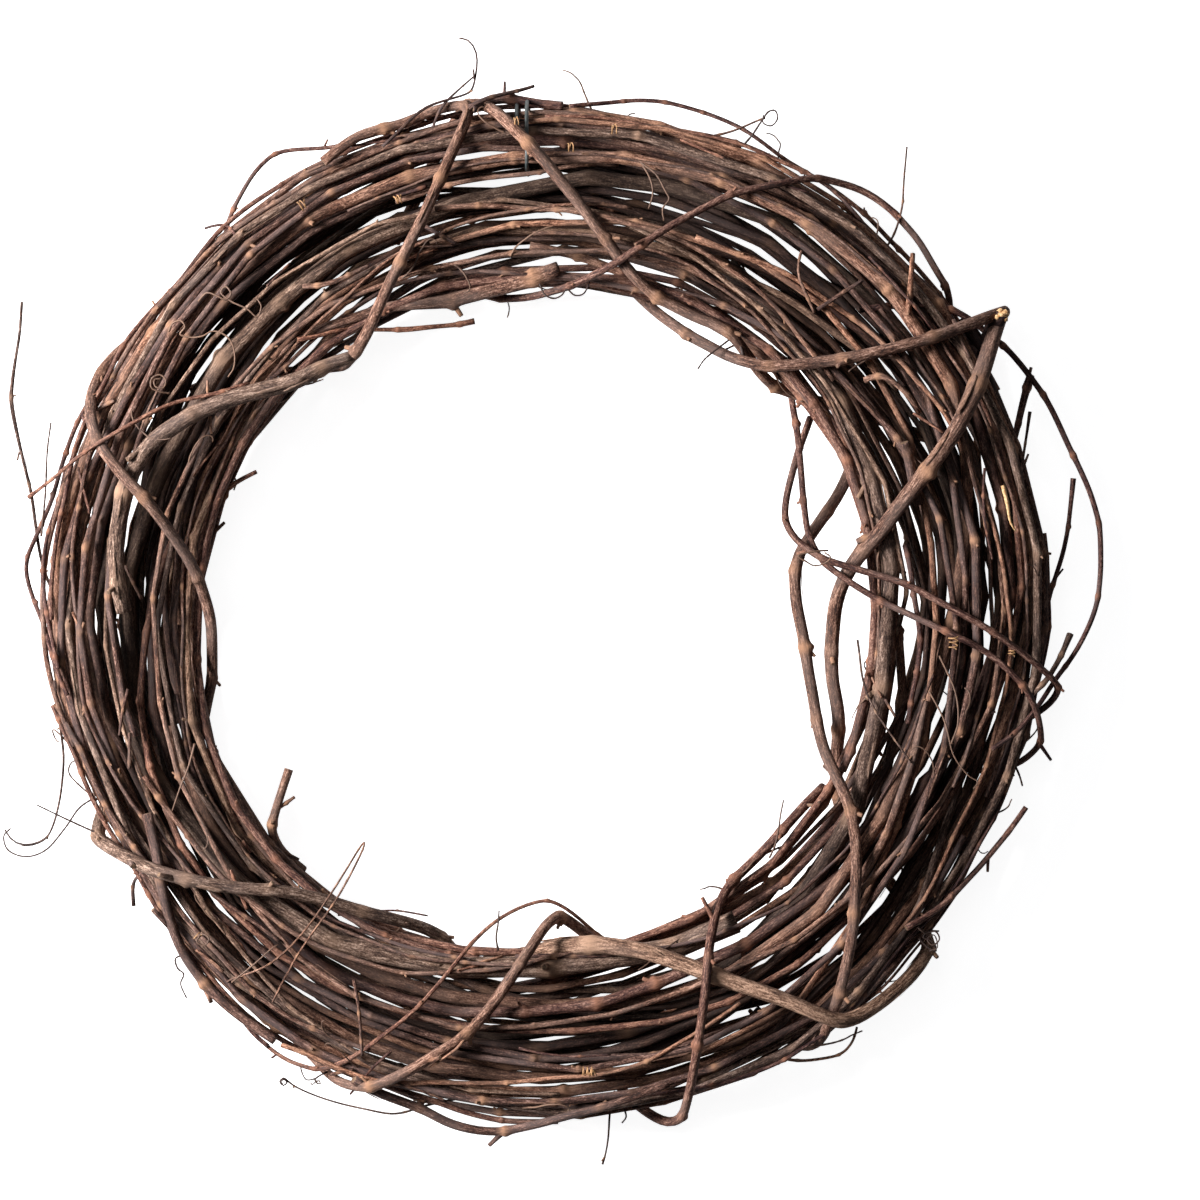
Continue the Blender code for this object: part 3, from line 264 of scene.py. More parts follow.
# Finer pieces: share of the solid's thickness that is drawn, steps along the way, from what depth
# in the band a cane shows, and the depths over which deeper canes are painted darker as shade
ROUND_SHARE = 0.848
WAY_STEP = 1.5
LEAST_STEPS = 4
EASINGS = 12
SHOWN_FROM = 0.6
WELL_SHOWN = 0.7
UNSHADED_DEPTHS = (0.4, 0.8)
PIECE_SEED = 100

# Rings of points along a cane: their steps, closer towards a joint
COARSE_STEP = 4.0
HIDDEN_STEP = 7.0
FINEST_SHARE = 0.28
FINEST_STEP = 0.25
NEARING = 0.45
FAR_FROM_JOINTS = 99.0
LEAST_LAST_STEP = 0.4
FIRST_SIDE = (0.13, 0.21, 1.0)
THIN_SIDES = 9
VINE_SIDES = 12
THICK_SIDES = 16
THIN_BELOW = 3.0
THICK_ABOVE = 4.0
MERGE_DISTANCE = 1e-7
LEAST_RIMMED_END = 0.5e-6
RIM_SHARE = 0.16

# Joints: first one and spacing in shares of the rhythm, kinks, swellings and buds
FIRST_JOINTS = (0.25, 0.9)
JOINT_SPACINGS = (0.72, 1.28)
JOINTLESS_END = 3.0
JOINT_EASINGS = 4
FACING_SPREAD = 0.35
KINK = 0.34
KINK_SHARES = (0.2, 1.0)
CANE_STRAIGHTNESS = 0.93
VINE_STRAIGHTNESS = 0.3
FULLY_SWOLLEN = 2.2
SWELLING_FADES = (1.6, 0.5)
BUD_SIZES = (0.2, 1.3)
BUD_NARROWNESS = 3.2
BUD_FADE = 1.5
BUD_OFFSET = 0.3
JOINT_REACH = (0.7, 0.65)
STRENGTH_BIAS = 1.6
LEAST_SWELLING = 0.25
PALENESS_FADE = 0.7
PALENESS = (0.2, 0.9)

# Bark: run of its ridges, their share in the marks that shade it, how oval a cane is, and the
# length of bark from which each cane takes its stretch
RIDGE_RUN = 15.0
RIDGE_SPREAD = 0.6
MIDDLE_RIDGE = 0.5
RIDGE_CONTRAST = 0.35
OVALNESS = 0.05
OVAL_TURNS = (0.0, 6.28)
BARK_RUN = 900.0

# Each bark's rhythm of the joints, their swelling, height of ridges and buds, and peeling strips
BARK_FORMS = {
    "bark_brown": {"rhythm": 44.0, "swelling": 0.23, "ridges": 0.033, "buds": 0.45, "strips": 0.10},
    "bark_red": {"rhythm": 36.0, "swelling": 0.28, "ridges": 0.025, "buds": 0.52, "strips": 0.0},
    "bark_grey": {"rhythm": 50.0, "swelling": 0.17, "ridges": 0.050, "buds": 0.32, "strips": 0.20},
    "wire_green": {"rhythm": 1e6, "swelling": 0.0, "ridges": 0.0, "buds": 0.0, "strips": 0.0},
}

# Cut stubs at the joints: share of the joints that have one, rings, radii, lean and size
STUBBED_JOINTS = 0.6
THIN_STUBBED_JOINTS = 0.35
STUB_SIDES = 7
STUB_RINGS = (0.0, 0.25, 0.6, 0.9, 1.0)
STUB_RADII = (1.3, 1.0, 0.92, 0.85, 0.765)
STUB_LEANS = (25.0, 75.0)
STUB_LENGTHS = (1.1, 2.1)
STUB_LEAST_LENGTH = 0.8
STUB_SHARES = (0.28, 0.5)
STUB_LEAST_RADIUS = 0.45
STUB_ROOT = 0.35
STUB_PALENESS = 0.75

# Strips of loose bark
STRIP_SPACING = 10.0
THICK_STRIPS = 1.5
STRIP_LENGTHS = (7.0, 24.0)
STRIP_WIDTHS = (0.12, 0.32)
STRIP_LIFTS = (0.1, 0.9)
STRIP_CURLS = (-0.05, 0.25)
STRIP_REACH = 1.03
STRIP_GAP = 0.12
STRIP_THICKNESS = 0.22
STRIP_TIP = 0.1
STRIP_ROOM = 8
STRIP_LEAST_RINGS = 3
STRIP_PALENESS = 0.25
STRIP_RIDGE = 0.75

# Sprigs and spurs on the finer pieces
GROWTH_RHYTHM = 16.0
GROWTH_SIDES = 7
LEAST_GROWTH_RADIUS = 0.55
ROOT_SET_BACK = 1.3
THIN_HOST = 1.6
THIN_HOST_SPUR = 0.3

# Thin canes laid over the ring: name, bark, how many, and between what angles round the band
THIN_CANES = (
    ("thin_canes_front", "bark_brown", 13, (20.0, 165.0)),
    ("thin_canes_outside", "bark_red", 7, (-35.0, 40.0)),
    ("thin_canes_inside", "bark_brown", 2, (140.0, 200.0)),
    ("thin_canes_back", "bark_grey", 8, (205.0, 330.0)),
)
THIN_CANE_DIAMETERS = (1.8, 3.4)
THIN_CANE_TAPERS = (0.6, 0.9)
THIN_CANE_SPANS = (55.0, 140.0)
THIN_CANE_STOPS = 12.0
THIN_CANE_SLANT = 75.0
WOBBLES = (2.0, 7.0)
WOBBLE_RUNS = (4.0, 9.0)
WOBBLE_STARTS = (0.0, 6.0)
THIN_CANE_BITE = 0.9
THIN_CANE_RHYTHM = 30.0
THIN_CANE_SIDES = 8
THIN_CANE_SEED = 500

# Tendrils that the photo shows: diameters at root and tip, and the way in millimetres
SHOWN_TENDRILS = (
    (1.08, 0.68, ((90, 210, 6), (94.6, 215.4, 6), (98.2, 220.8, 6), (101.8, 225.8, 6),
     (105, 226.2, 6), (105.9, 222.6, 6), (103.2, 219.5, 6), (99.5, 220.8, 6), (99.5, 224.4, 6))),
    (0.95, 0.75, ((-201.4, -85.1, 4), (-208.6, -79.2, 4), (-214, -73.3, 4), (-213.6, -68.8, 4),
     (-210.4, -67, 4), (-207.7, -70.1, 4))),
    (1.0, 0.8, ((-202.3, -83.7, 4), (-209.5, -88.7, 5), (-215.8, -97.7, 6), (-224, -107.2, 7),
     (-233, -110.4, 7), (-241.2, -107.7, 6), (-243.4, -101.4, 6), (-240.3, -97.7, 6))),
    (1.2, 0.68, ((-192.3, -104.1, 4), (-202.3, -99.5, 5), (-214, -94.1, 6), (-228.5, -86.9, 8))),
    (0.95, 0.75, ((-112.4, -214.8, 1), (-115.4, -212.4, 1), (-117.4, -210.8, 2),
     (-119.1, -212.5, 2), (-117.4, -214.2, 2), (-115.9, -212.9, 2), (-117, -211.4, 3),
     (-118.6, -212.3, 3), (-117.6, -213.6, 3))),
    (0.9, 0.7, ((-97.3, -207.7, 4), (-100.9, -209.5, 5), (-103.2, -210.9, 5), (-106.8, -211.3, 5),
     (-108.6, -208.6, 5), (-109.5, -205.9, 4))),
    (0.9, 0.7, ((-103.2, -210.9, 5), (-101.8, -213.1, 5), (-100.5, -213.1, 5),
     (-100.9, -211.8, 5), (-102.7, -212.2, 5), (-104.1, -213.6, 5), (-105, -212.7, 5))),
    (1.0, 0.8, ((83.7, 122.2, 14), (78.3, 118.1, 16), (72.9, 113.6, 17), (69.7, 109.1, 18))),
    (1.44, 2.03, ((87.3, 123.1, 12), (89.6, 117.7, 14), (90.5, 111.3, 14))),
    (0.95, 0.75, ((-1.4, 147.5, 16), (0.9, 142.5, 18), (5, 140.7, 18), (8.6, 142.1, 18),
     (10.9, 144.8, 18), (14.5, 142.1, 18), (18.6, 143, 18), (21.3, 148.4, 17))),
    (0.95, 0.75, ((128.1, 27.6, 20), (122.6, 27.2, 22), (114.5, 25.3, 23), (118.1, 22.6, 23),
     (121.7, 20.8, 22), (126.2, 21.7, 22), (129, 24.4, 24), (126.2, 26.7, 24))),
    (1.14, 0.81, ((-227.1, 34.4, 1), (-225.8, 43.4, 4), (-224.5, 55.2, 6), (-223.5, 72.4, 8),
     (-221.7, 85.5, 9))),
    (1.2, 0.94, ((210.4, -63.4, 4), (212.7, -67.9, 4), (215.4, -74.2, 4), (216.7, -78.7, 4))),
    (0.95, 0.75, ((101.8, -110.4, 18), (104.5, -104.1, 19), (105.9, -96.8, 20),
     (106.8, -90.5, 20), (108.1, -84.2, 20))),
    (1.0, 0.8, ((-19.9, -152, 16), (-20.8, -146.2, 18), (-19.9, -139.4, 19),
     (-19.5, -133.9, 19))),
    (0.95, 0.75, ((-157, -153.8, 2), (-161.5, -155.2, 2), (-166.1, -156.6, 3),
     (-165.2, -161.1, 3), (-162.4, -163.8, 3), (-163.8, -168.3, 3), (-161.1, -174.7, 3))),
    (0.95, 0.75, ((36.7, -224.4, 4), (37.6, -228.1, 5), (35.7, -230.8, 5))),
    (0.95, 0.75, ((-142.5, 99.5, 24), (-137.1, 96.8, 26), (-132.6, 93.2, 27), (-131.7, 96.8, 27),
     (-135.3, 98.6, 27), (-134.4, 94.1, 27))),
    (0.96, 0.54, ((172.9, -35.3, 26), (179.6, -48.9, 29), (183.3, -63.4, 30), (189.6, -72.4, 30),
     (194.1, -75.6, 30), (192.3, -78.7, 31))),
    (0.95, 0.75, ((177.4, -19.5, 27), (184.2, -35.3, 29), (185.5, -48.9, 30), (182.4, -58.8, 30))),
    (0.95, 0.75, ((44.8, 200, 26), (48.4, 192.8, 29), (49.3, 186.4, 29), (47.5, 180.1, 28))),
    (0.95, 0.75, ((43.9, 200.9, 26), (50.7, 195.5, 28), (54.8, 188.2, 29), (56.6, 184.2, 29),
     (53.8, 180.1, 29), (54.3, 174.7, 28))),
    (1.08, 0.68, ((-155.2, -58.8, 27), (-157.9, -69.2, 29), (-161.5, -78.3, 29),
     (-165.2, -88.7, 27))),
    (0.96, 0.54, ((-138.9, -165.6, 25), (-129, -157.5, 28), (-120.8, -150.2, 29),
     (-117.7, -148.4, 28))),
    (0.95, 0.75, ((-156.1, -146.2, 24), (-152, -143.9, 26), (-148.9, -145.7, 27),
     (-150.7, -148.9, 27), (-154.3, -147.5, 27), (-152.9, -144.3, 27))),
    (0.96, 0.54, ((168.3, -141.6, 8), (172.4, -144.8, 9), (176.9, -143.9, 10),
     (178.7, -147.5, 10), (175.6, -150.2, 10), (173.3, -147.5, 9), (176.5, -145.7, 9),
     (177.8, -151.1, 10), (174.2, -152.9, 9))),
    (0.95, 0.75, ((169.7, -147.5, 6), (173.3, -151.1, 7), (177.4, -152.9, 8), (175.1, -148.4, 9),
     (171.5, -146.6, 9), (174.2, -143.9, 9), (178.7, -143.9, 9))),
    (0.95, 0.7, ((-166.1, 97.7, 27), (-170.1, 98.2, 29), (-174.2, 100, 30), (-174.2, 104.1, 30),
     (-170.6, 105.9, 30), (-167.9, 103.6, 30), (-168.8, 100, 31), (-172.4, 100.5, 31),
     (-172.9, 103.6, 30), (-169.7, 104.1, 29))),
    (0.95, 0.7, ((-167, 125.3, 26), (-164.7, 129, 29), (-161.1, 129.9, 30), (-159.3, 127.2, 30),
     (-161.5, 124, 29), (-157, 122.6, 29), (-151.6, 123.1, 30), (-147.1, 125.3, 30),
     (-142.1, 124, 31), (-138.5, 120.4, 31), (-137.1, 114.9, 30), (-137.6, 109.1, 29),
     (-140.3, 105, 27))),
    (0.95, 0.7, ((-153.8, 138.9, 25), (-149.8, 142.5, 28), (-145.3, 141.2, 29), (-141.2, 139.4, 29),
     (-138.9, 142.1, 29), (-141.2, 145.3, 28), (-143.4, 142.5, 28), (-138.5, 138.5, 29),
     (-131.7, 135.3, 30), (-127.2, 131.7, 30), (-125.3, 136.2, 30), (-127.2, 139.8, 28))),
)

# Tendrils wound round canes: x, y and height of the middle, reach and turns
COILS = (
    (31.7, 215.8, 27, 2.3, 1.5),
    (12.2, 207.7, 27, 1.8, 1.5),
    (-11.8, 219.5, 24, 1.9, 1.5),
    (21.3, -205, 27, 2, 3),
    (-107.7, 181.9, 24, 2.2, 2),
    (23.1, -205.4, 27, 1.6, 2),
    (-153.8, -144.8, 25, 1.8, 1.5),
    (183.3, -12.7, 31, 1.9, 3),
    (210.4, -18.1, 20, 1.6, 2),
    (-64.7, 184.2, 27, 1.8, 2),
)
COIL_DIAMETERS = (0.75, 0.5)
COIL_STEPS = 8
COIL_PITCH = 0.22
COIL_WIDTHS = (0.75, 1.2)
COIL_START = 0.4

# Loose tendrils on the canes
TENDRIL_COUNT = 70
TENDRIL_DIAMETERS = (0.7, 1.2)
TENDRIL_TAPER = 0.6
TENDRIL_LENGTHS = (12.0, 46.0)
TENDRIL_STEP = 2.6
HEADING_SPREAD = 0.7
TENDRIL_CURL = 0.10
ROLLED_SHARE = 0.6
ROLLS = (0.7, 1.2)
LEAST_ROLL = 0.1
TENDRIL_RISES = (2.0, 6.0)
TENDRIL_LIFT = (1.4, 0.1)
TENDRIL_ARCH = 0.62
TENDRIL_CLOSING = 0.5
TENDRIL_ROOT = 0.5
TENDRIL_SEED = 900
WHISKER_STEP = 1.0
WHISKER_SIDES = 5
WHISKER_PALENESS = 0.3
UNEVENNESS = (0.85, 1.15)

# Tendrils that end lower than this lie outside the band; they are painted darker, as shade, since
# they stand dark against the white
OUTSIDE_BELOW = 20.0
OUTSIDE_PAINTED_SHADE = 1.2

# Short broken twigs across the canes: bark and how many
SHORT_TWIGS = (("bark_brown", 16), ("bark_red", 12))
SHORT_TWIG_DIAMETERS = (1.2, 2.4)
SHORT_TWIG_TAPER = 0.85
SHORT_TWIG_TURNS = (2.0, 6.5)
SHORT_TWIG_CROSS = 22.0
SHORT_TWIG_LIFTS = (0.0, 3.0)
SHORT_TWIG_RHYTHM = 11.0
SHORT_TWIG_SIDES = 7
SHORT_TWIG_SEED = 950
FRONT_ANGLES = (20.0, 165.0)

# Vines with a stretch drawn nearer to the photo: its first point, then places and radii
FOLDS = {
    "binding_vine_upper_left": (3, (
        (-63.8, 219.5, 7, 2.9), (-53.4, 223.5, 5, 2.9), (-47.5, 226, 4.6, 2.9),
        (-41.2, 227.2, 5.6, 2.9), (-35.7, 227.2, 8, 2.8), (-32.6, 226.5, 10, 2.8),
        (-31, 224.9, 12.1, 2.8), (-31.7, 221.3, 16.2, 2.8), (-34.2, 215.8, 19.7, 2.8),
        (-37.1, 209.5, 22.2, 2.8), (-42.5, 198.2, 24.8, 2.8), (-48.9, 184.6, 26.5, 2.8),
        (-58.4, 165.2, 28.4, 2.8), (-63.8, 152.9, 29.3, 2.8),
        (-69.7, 141.2, 29.5, 2.8), (-74.9, 129.9, 29, 2.9), (-79.6, 120.8, 27, 3),
        (-83.7, 114.3, 22.5, 3.2), (-85.7, 111.8, 15, 2.9), (-86.4, 110.4, 8, 2.8),
        (-87.3, 109.7, 0, 2.8))),
    "thick_vine_left": (0, (
        (-84.4, 113.6, 20.5, 3.1), (-91.9, 111.3, 22.5, 3.5), (-101.8, 106.8, 24.5, 3.9),
        (-109.1, 102.7, 26, 4.2))),
    "binding_vine_right": (0, (
        (205.9, 132.1, 5.5, 3.9), (203.2, 124.9, 9.5, 4), (200.2, 117.7, 14, 4.2),
        (196.4, 107.7, 19.5, 4.4), (192.8, 99.5, 23.2, 4.5), (188.9, 91, 25.9, 4.5))),
    "forked_vine_bottom": (20, (
        (26.2, -148, 14, 4.8), (15.8, -149.3, 11, 4.7), (3.2, -151.1, 6, 4.6),
        (-6.8, -153.4, 1, 4.4), (-15.8, -155.7, -5, 4.2), (-25.8, -157.9, -12, 4))),
    "outer_vine_bottom": (2, (
        (-58.4, -222.2, 4, 2.6), (-53.4, -225.3, 3, 2.6), (-47.1, -229.6, 2, 2.5),
        (-43.4, -231.5, 1.5, 2.5), (-38, -233, 1, 2.5), (-30.3, -234.2, 1, 2.4),
        (-24.9, -234.2, 1, 2.4), (-19.5, -233.5, 2, 2.4), (-14, -232.1, 4, 2.4))),
    "inner_stub_left": (1, (
        (-119.9, -108.1, -6, 2.4), (-122.9, -99.5, 1, 2.4), (-120.4, -90.5, 4, 2.3),
        (-117.7, -81, 5, 2.2), (-114.7, -71, 4, 2.3))),
    "outer_loop_right": (0, (
        (142.5, 135.8, 2, 1.7), (152.5, 137.1, 4, 1.7), (162, 137.6, 6, 1.7),
        (167.9, 138, 8, 1.7), (176.5, 137.1, 9, 1.7), (184.2, 135.3, 9, 1.7),
        (191, 132.6, 7, 1.7))),
    "tendril_top": (3, (
        (-31.2, 231.7, 9, 0.6), (-29, 238.9, 4, 0.55), (-26.7, 248, 2, 0.5),
        (-26.7, 253.4, 1, 0.5), (-29.9, 257.9, 1, 0.45), (-34.8, 260.2, 1, 0.45),
        (-37.6, 257.5, 1, 0.45))),
    "tendril_bottom": (0, (
        (31.2, -216.3, 4, 0.6), (30.3, -220, 3, 0.6), (29.9, -223.5, 2, 0.6),
        (29.4, -227.6, 1, 0.6), (29.9, -230.8, 1, 0.55), (29.9, -234.4, 1, 0.55),
        (29.4, -238.9, 1, 0.5), (28.5, -243.4, 1, 0.5), (26.7, -248.4, 1, 0.7))),
    "tendril_bottom_left": (2, (
        (-56.3, -223.8, -1, 0.6), (-68.3, -227.8, 0, 0.6), (-77.8, -224.7, 0, 0.55),
        (-89.6, -222.6, 0, 0.55), (-102.3, -219, 0, 0.5), (-112.4, -214.8, 1, 0.5),
        (-115.4, -212.4, 1, 0.45), (-116.6, -211.2, 1, 0.45))),
    "twig_top": (1, (
        (-33.9, 224.4, 16, 1.3), (-27.6, 229, 14, 1.3), (-20.4, 231.2, 10, 1.2),
        (-13.6, 234.4, 5, 1.1), (-4.1, 237.6, 0, 0.9))),
    "thorn_top": (1, (
        (-45.2, 226.7, 14, 0.8), (-38, 233.5, 7, 0.6), (-31.2, 240.3, 1, 0.5))),
    "outer_twig_right": (1, (
        (226.7, -5.9, -14, 1.3), (229, 3.2, -10, 1.3), (230.8, 10.9, -7, 1.2),
        (232.1, 17.6, -4, 1.2), (234.4, 25.8, -2, 1.2), (235.8, 37.1, -1, 1.2),
        (237.1, 48.4, 0, 1.2), (238.9, 60.2, 0, 1.5))),
    "twig_right": (1, (
        (216.7, 71, 4, 0.7), (217.7, 79.2, 0, 0.7), (219, 90, -2, 1))),
    "stub_right": (1, (
        (224.9, -31.7, 11, 1.4), (230.3, -23.1, 6, 1.4), (233.9, -16.3, 3, 1.5),
        (237.1, -10, 0, 1.9))),
    "far_twig_left": (4, (
        (-228.5, 38, -1, 0.9), (-230.8, 50.7, 0, 0.9), (-234.8, 71, 0, 0.9),
        (-239.4, 95, 0, 1.2), (-237.6, 116.3, 0, 0.8), (-234.8, 139.8, 0, 0.8))),
    "loose_twig_left": (3, (
        (-172.4, 89.6, 31, 1.1), (-181.5, 83.7, 33, 1.1), (-193.2, 76.5, 34, 1),
        (-201.4, 71.5, 32, 1), (-207.7, 67.4, 27, 1), (-219.5, 59.7, 12, 0.9),
        (-227.6, 55.2, 4, 0.9), (-232.6, 52, 0, 1.3))),
    "binding_vine_bottom": (13, (
        (-52.5, -201.4, 23.3, 2.9), (-61.1, -206.3, 22.5, 2.9), (-68.3, -209.1, 21, 2.9),
        (-75.6, -211.8, 18, 2.8), (-83.7, -213.1, 14, 2.7), (-90.5, -212.7, 10, 2.6),
        (-95.5, -210.9, 4, 2.5), (-99.1, -208.2, -4, 2.5), (-104.5, -202.7, -12, 2.4))),
    "loose_twig_bottom": (0, (
        (-137.1, -178.3, -6, 1), (-133.9, -186, -5, 1), (-127.2, -193.7, -3, 1),
        (-120.4, -200.5, -1, 1.1), (-113.6, -205, 2, 1.1), (-101.8, -206.3, 7, 1.2),
        (-94.1, -204.5, 11, 1.3), (-87.3, -201.4, 17, 1.4))),
    "inner_vine_top": (0, (
        (-127.2, 108.6, -2, 2), (-120.8, 113.1, 6, 2), (-115.4, 117.2, 10, 2.1),
        (-110, 120.8, 12, 2.1), (-103.2, 124.4, 13, 2.2), (-97.3, 127.6, 13, 2.3),
        (-91, 129.9, 13, 2.4), (-81.5, 133.5, 12, 2.6), (-65.6, 137.1, 10, 2.9),
        (-42.1, 139.8, 8, 3.6), (-30.3, 142.5, 8, 4.1), (-19.5, 145.3, 9, 4.4),
        (7.2, 152.9, 14, 4.2))),
    "inner_twig_top": (2, (
        (-89.6, 127.2, 12, 1.1), (-84.6, 127.2, 10, 1.1), (-74.7, 127.2, 6, 1.1),
        (-67, 126.7, 4, 1.2), (-61.1, 126.2, 3, 1.5), (-44.3, 129, 2, 1.2),
        (-30.8, 130.8, 1, 1.7))),
}

# The torn elbow: its crook and the wood between its legs, each by places and three radii and both
# painted fully dark as shade, then the splinters that stand up from the crook's end
ELBOW_CROOK = (((196.5, 113.5, 0), (199.5, 121, 3), (203, 128.5, 6), (205.6, 132.2, 9),
                (206.8, 134.3, 13.5)), (1.8, 4.8, 2.9))
ELBOW_WEB = (((188.7, 132, 1), (194.5, 125, 3), (200.5, 117, 4)), (2.6, 3.6, 3.0))
ELBOW_SIDES = 14
ELBOW_SEED = 960
SPLINTER_COUNT = 24
SPLINTER_SPREAD = (1.3, 1.1, 0.2)
SPLINTER_LEAN = (0.1, 0.35, 1.0)
SPLINTER_WAVER = 0.12
SPLINTER_ROOT = 2.0
SPLINTER_REACHES = (0.3, 1.5)
SPLINTER_DIAMETERS = (2.4, 3.4)
SPLINTER_TIP = 1.7

# The pale sliver at the right: diameters at root and tip, then x, y and lift off the face
PALE_SLIVER = (2.4, 0.8,
               ((206.3, 56.6, 0), (208.2, 48.4, 1), (209.5, 40.7, 1), (212.2, 36.2, 0)))

# How light and warm the bark of a vine is, from 0 to 1, where the photo shows it. Some tones also
# paint light or shade: the low tones of outer_loop_right and of the red shown twigs are painted
# shade, the high tone of inner_twig_top is painted light where it lies in the band's shadow, and
# less than 0 darkens a tendril that stands against the white, as painted shade
MIDDLE_TONE = 0.5
TONES_WITH_PAINTED_LIGHT_AND_SHADE = {
    "binding_vine_top": 0.62, "binding_vine_upper_left": 0.62, "thick_vine_left": 0.45,
    "inner_vine_top": 0.55, "binding_vine_upper_right": 0.5, "binding_vine_right": 0.55,
    "binding_vine_left": 0.5, "binding_vine_lower_left": 0.45, "forked_vine_bottom": 0.8,
    "binding_vine_bottom": 0.62, "binding_vine_bottom_right": 0.6,
    "binding_vine_lower_right": 0.55, "inner_twig_top": 1.0, "arching_vine_top": 0.5,
    "loose_twig_left": 0.85, "inner_loop_right": 0.4, "inner_loop_right_short": 0.5,
    "outer_loop_right": 0.1, "outer_twig_right": 0.2, "loose_twig_bottom": 0.8,
    "outer_twig_top_left": 0.3, "inner_stub_left": 0.6, "torn_crook": 0.0,
    "twig_top": 0.1, "thorn_top": 0.0, "far_twig_left": 0.0, "tendril_top": -0.3,
    "shown_twig_bark_red": 0.2, "tendril_bottom": -0.3, "tendril_left": -0.3,
    "tendril_bottom_left": -0.3,
}

# Broken twigs that the photo shows: diameters at root and tip, then x, y and lift off the face
SHOWN_TWIG_RHYTHM = 18.0
SHOWN_TWIG_SIDES = 9
SHOWN_TWIG_SEED = 970
SHOWN_TWIGS = {
    "bark_brown": (
        (2.4, 2, ((123.1, 135.3, -1), (133.5, 142.1, 2), (143, 148, 3))),
        (1.8, 1.4, ((121.7, 133.9, -1), (116.3, 143, 2), (111.8, 149.3, 3), (114.9, 160.2, 4))),
        (3.4, 2.6, ((162.4, 132.1, -2), (163.8, 146.6, 2), (165.6, 160.2, 5))),
        (5.4, 4.8, ((168.3, 48.4, -5), (163.8, 63.4, 1), (160.2, 75.1, 5))),
        (3.4, 2.6, ((143.4, 103.2, -1), (152.5, 105.9, 3), (162.9, 97.7, 2), (167.9, 88.7, -3))),
        (1.7, 1.3, ((-30.3, -181, 0), (-36.7, -193.7, 3), (-50.2, -203.6, 0))),
        (2, 1.5, ((-84.2, -164.3, 0), (-81.5, -175.6, 3), (-80.1, -197.3, 0))),
        (3, 2.2, ((-106.3, 144.8, -1), (-96.4, 145.7, 3), (-86.4, 149.8, 3), (-77.4, 153.8, -1))),
        (2.2, 1.6, ((-184.6, -132.6, -4), (-185.5, -121.3, -2), (-177.8, -115.8, -1))),
        (2.8, 2.3, ((-66, 184, -12), (-46.6, 190, -11), (-16.3, 195.2, -10), (14.5, 199.5, -11),
                    (34, 200.5, -13))),
    ),
    "bark_red": (
        (2.3, 1.9, ((12, 226.5, -3), (30.3, 228.7, 0), (42, 230.8, 0), (52.9, 231.2, 0),
                    (61, 228.8, 0), (70.1, 225.3, 0), (82, 220.8, 0), (93.7, 214.9, 0),
                    (105, 207.6, 0), (116.3, 199.1, 0), (130.8, 188, -3), (146, 172, -8))),
        (1.7, 1.4, ((-137, 168, -4), (-143, 175.5, 0), (-152, 172.3, 0))),
        (3, 2.6, ((162, 30, -12), (166.5, 10, -10), (168.6, -8, -9), (167.5, -28, -10),
                  (163.5, -50, -12))),
        (2.6, 2.4, ((-204.1, 95.9, -2), (-209.5, 84.6, -1), (-215.8, 67.9, 0), (-220.8, 54.3, 0),
                    (-226.7, 37.1, 0), (-232.6, 22.2, 0), (-233, 15.8, 0), (-228.5, 2.7, 0),
                    (-219.5, -19, 0), (-211.3, -37.1, 0))),
        (2.4, 2.2, ((-214, 64.3, 1), (-219.9, 42.5, 1), (-223.1, 25.3, 1), (-222.2, -1.8, 1),
                    (-215.8, -25.3, 0))),
        (1.8, 1.6, ((-204.1, 83.3, 0), (-207.7, 89.6, -1), (-200, 99.5, 0), (-193.2, 105, 0))),
        (1.5, 1.1, ((146.2, 159.3, 0), (157, 145.7, 3), (173.3, 126.2, 0))),
        (3.2, 4.4, ((212.2, 77.8, -14), (215.8, 93.7, -6), (219, 106.3, -1))),
        (5.4, 4.8, ((-32.1, 224.4, 4), (-24.4, 229.9, 4), (-17.2, 231.2, 3), (-8.1, 230.8, 1),
                    (0, 228.5, -2), (9, 227.2, -5))),
        (1.8, 1.3, ((-17.6, 231.2, 3), (-16.7, 236.7, 3), (-17.2, 238.9, 3))),
        (2.6, 2.4, ((-138, -176.5, -6), (-134.4, -184.6, -3), (-129, -191.9, -2),
                    (-123.5, -195.5, -1))),
        (1.6, 1.2, ((197.7, 64.3, 0), (195.9, 41.6, 4), (200, 23.5, 0))),
        (1.4, 1.1, ((-10.4, -193.7, 0), (7.7, -198.2, 3), (30.3, -196.4, 0))),
        (1.6, 1.2, ((-67, -195, 0), (-73.8, -200.5, 2), (-86.4, -216.3, 2))),
    ),
    "bark_grey": (
        (1.6, 1.3, ((124.4, -85.1, -2), (118.6, -88.7, -1), (116.3, -85.1, 0))),
        (1.3, 1, ((141.2, -12.7, 0), (146.2, -39.8, 3), (163.8, -67, 0))),
    ),
}

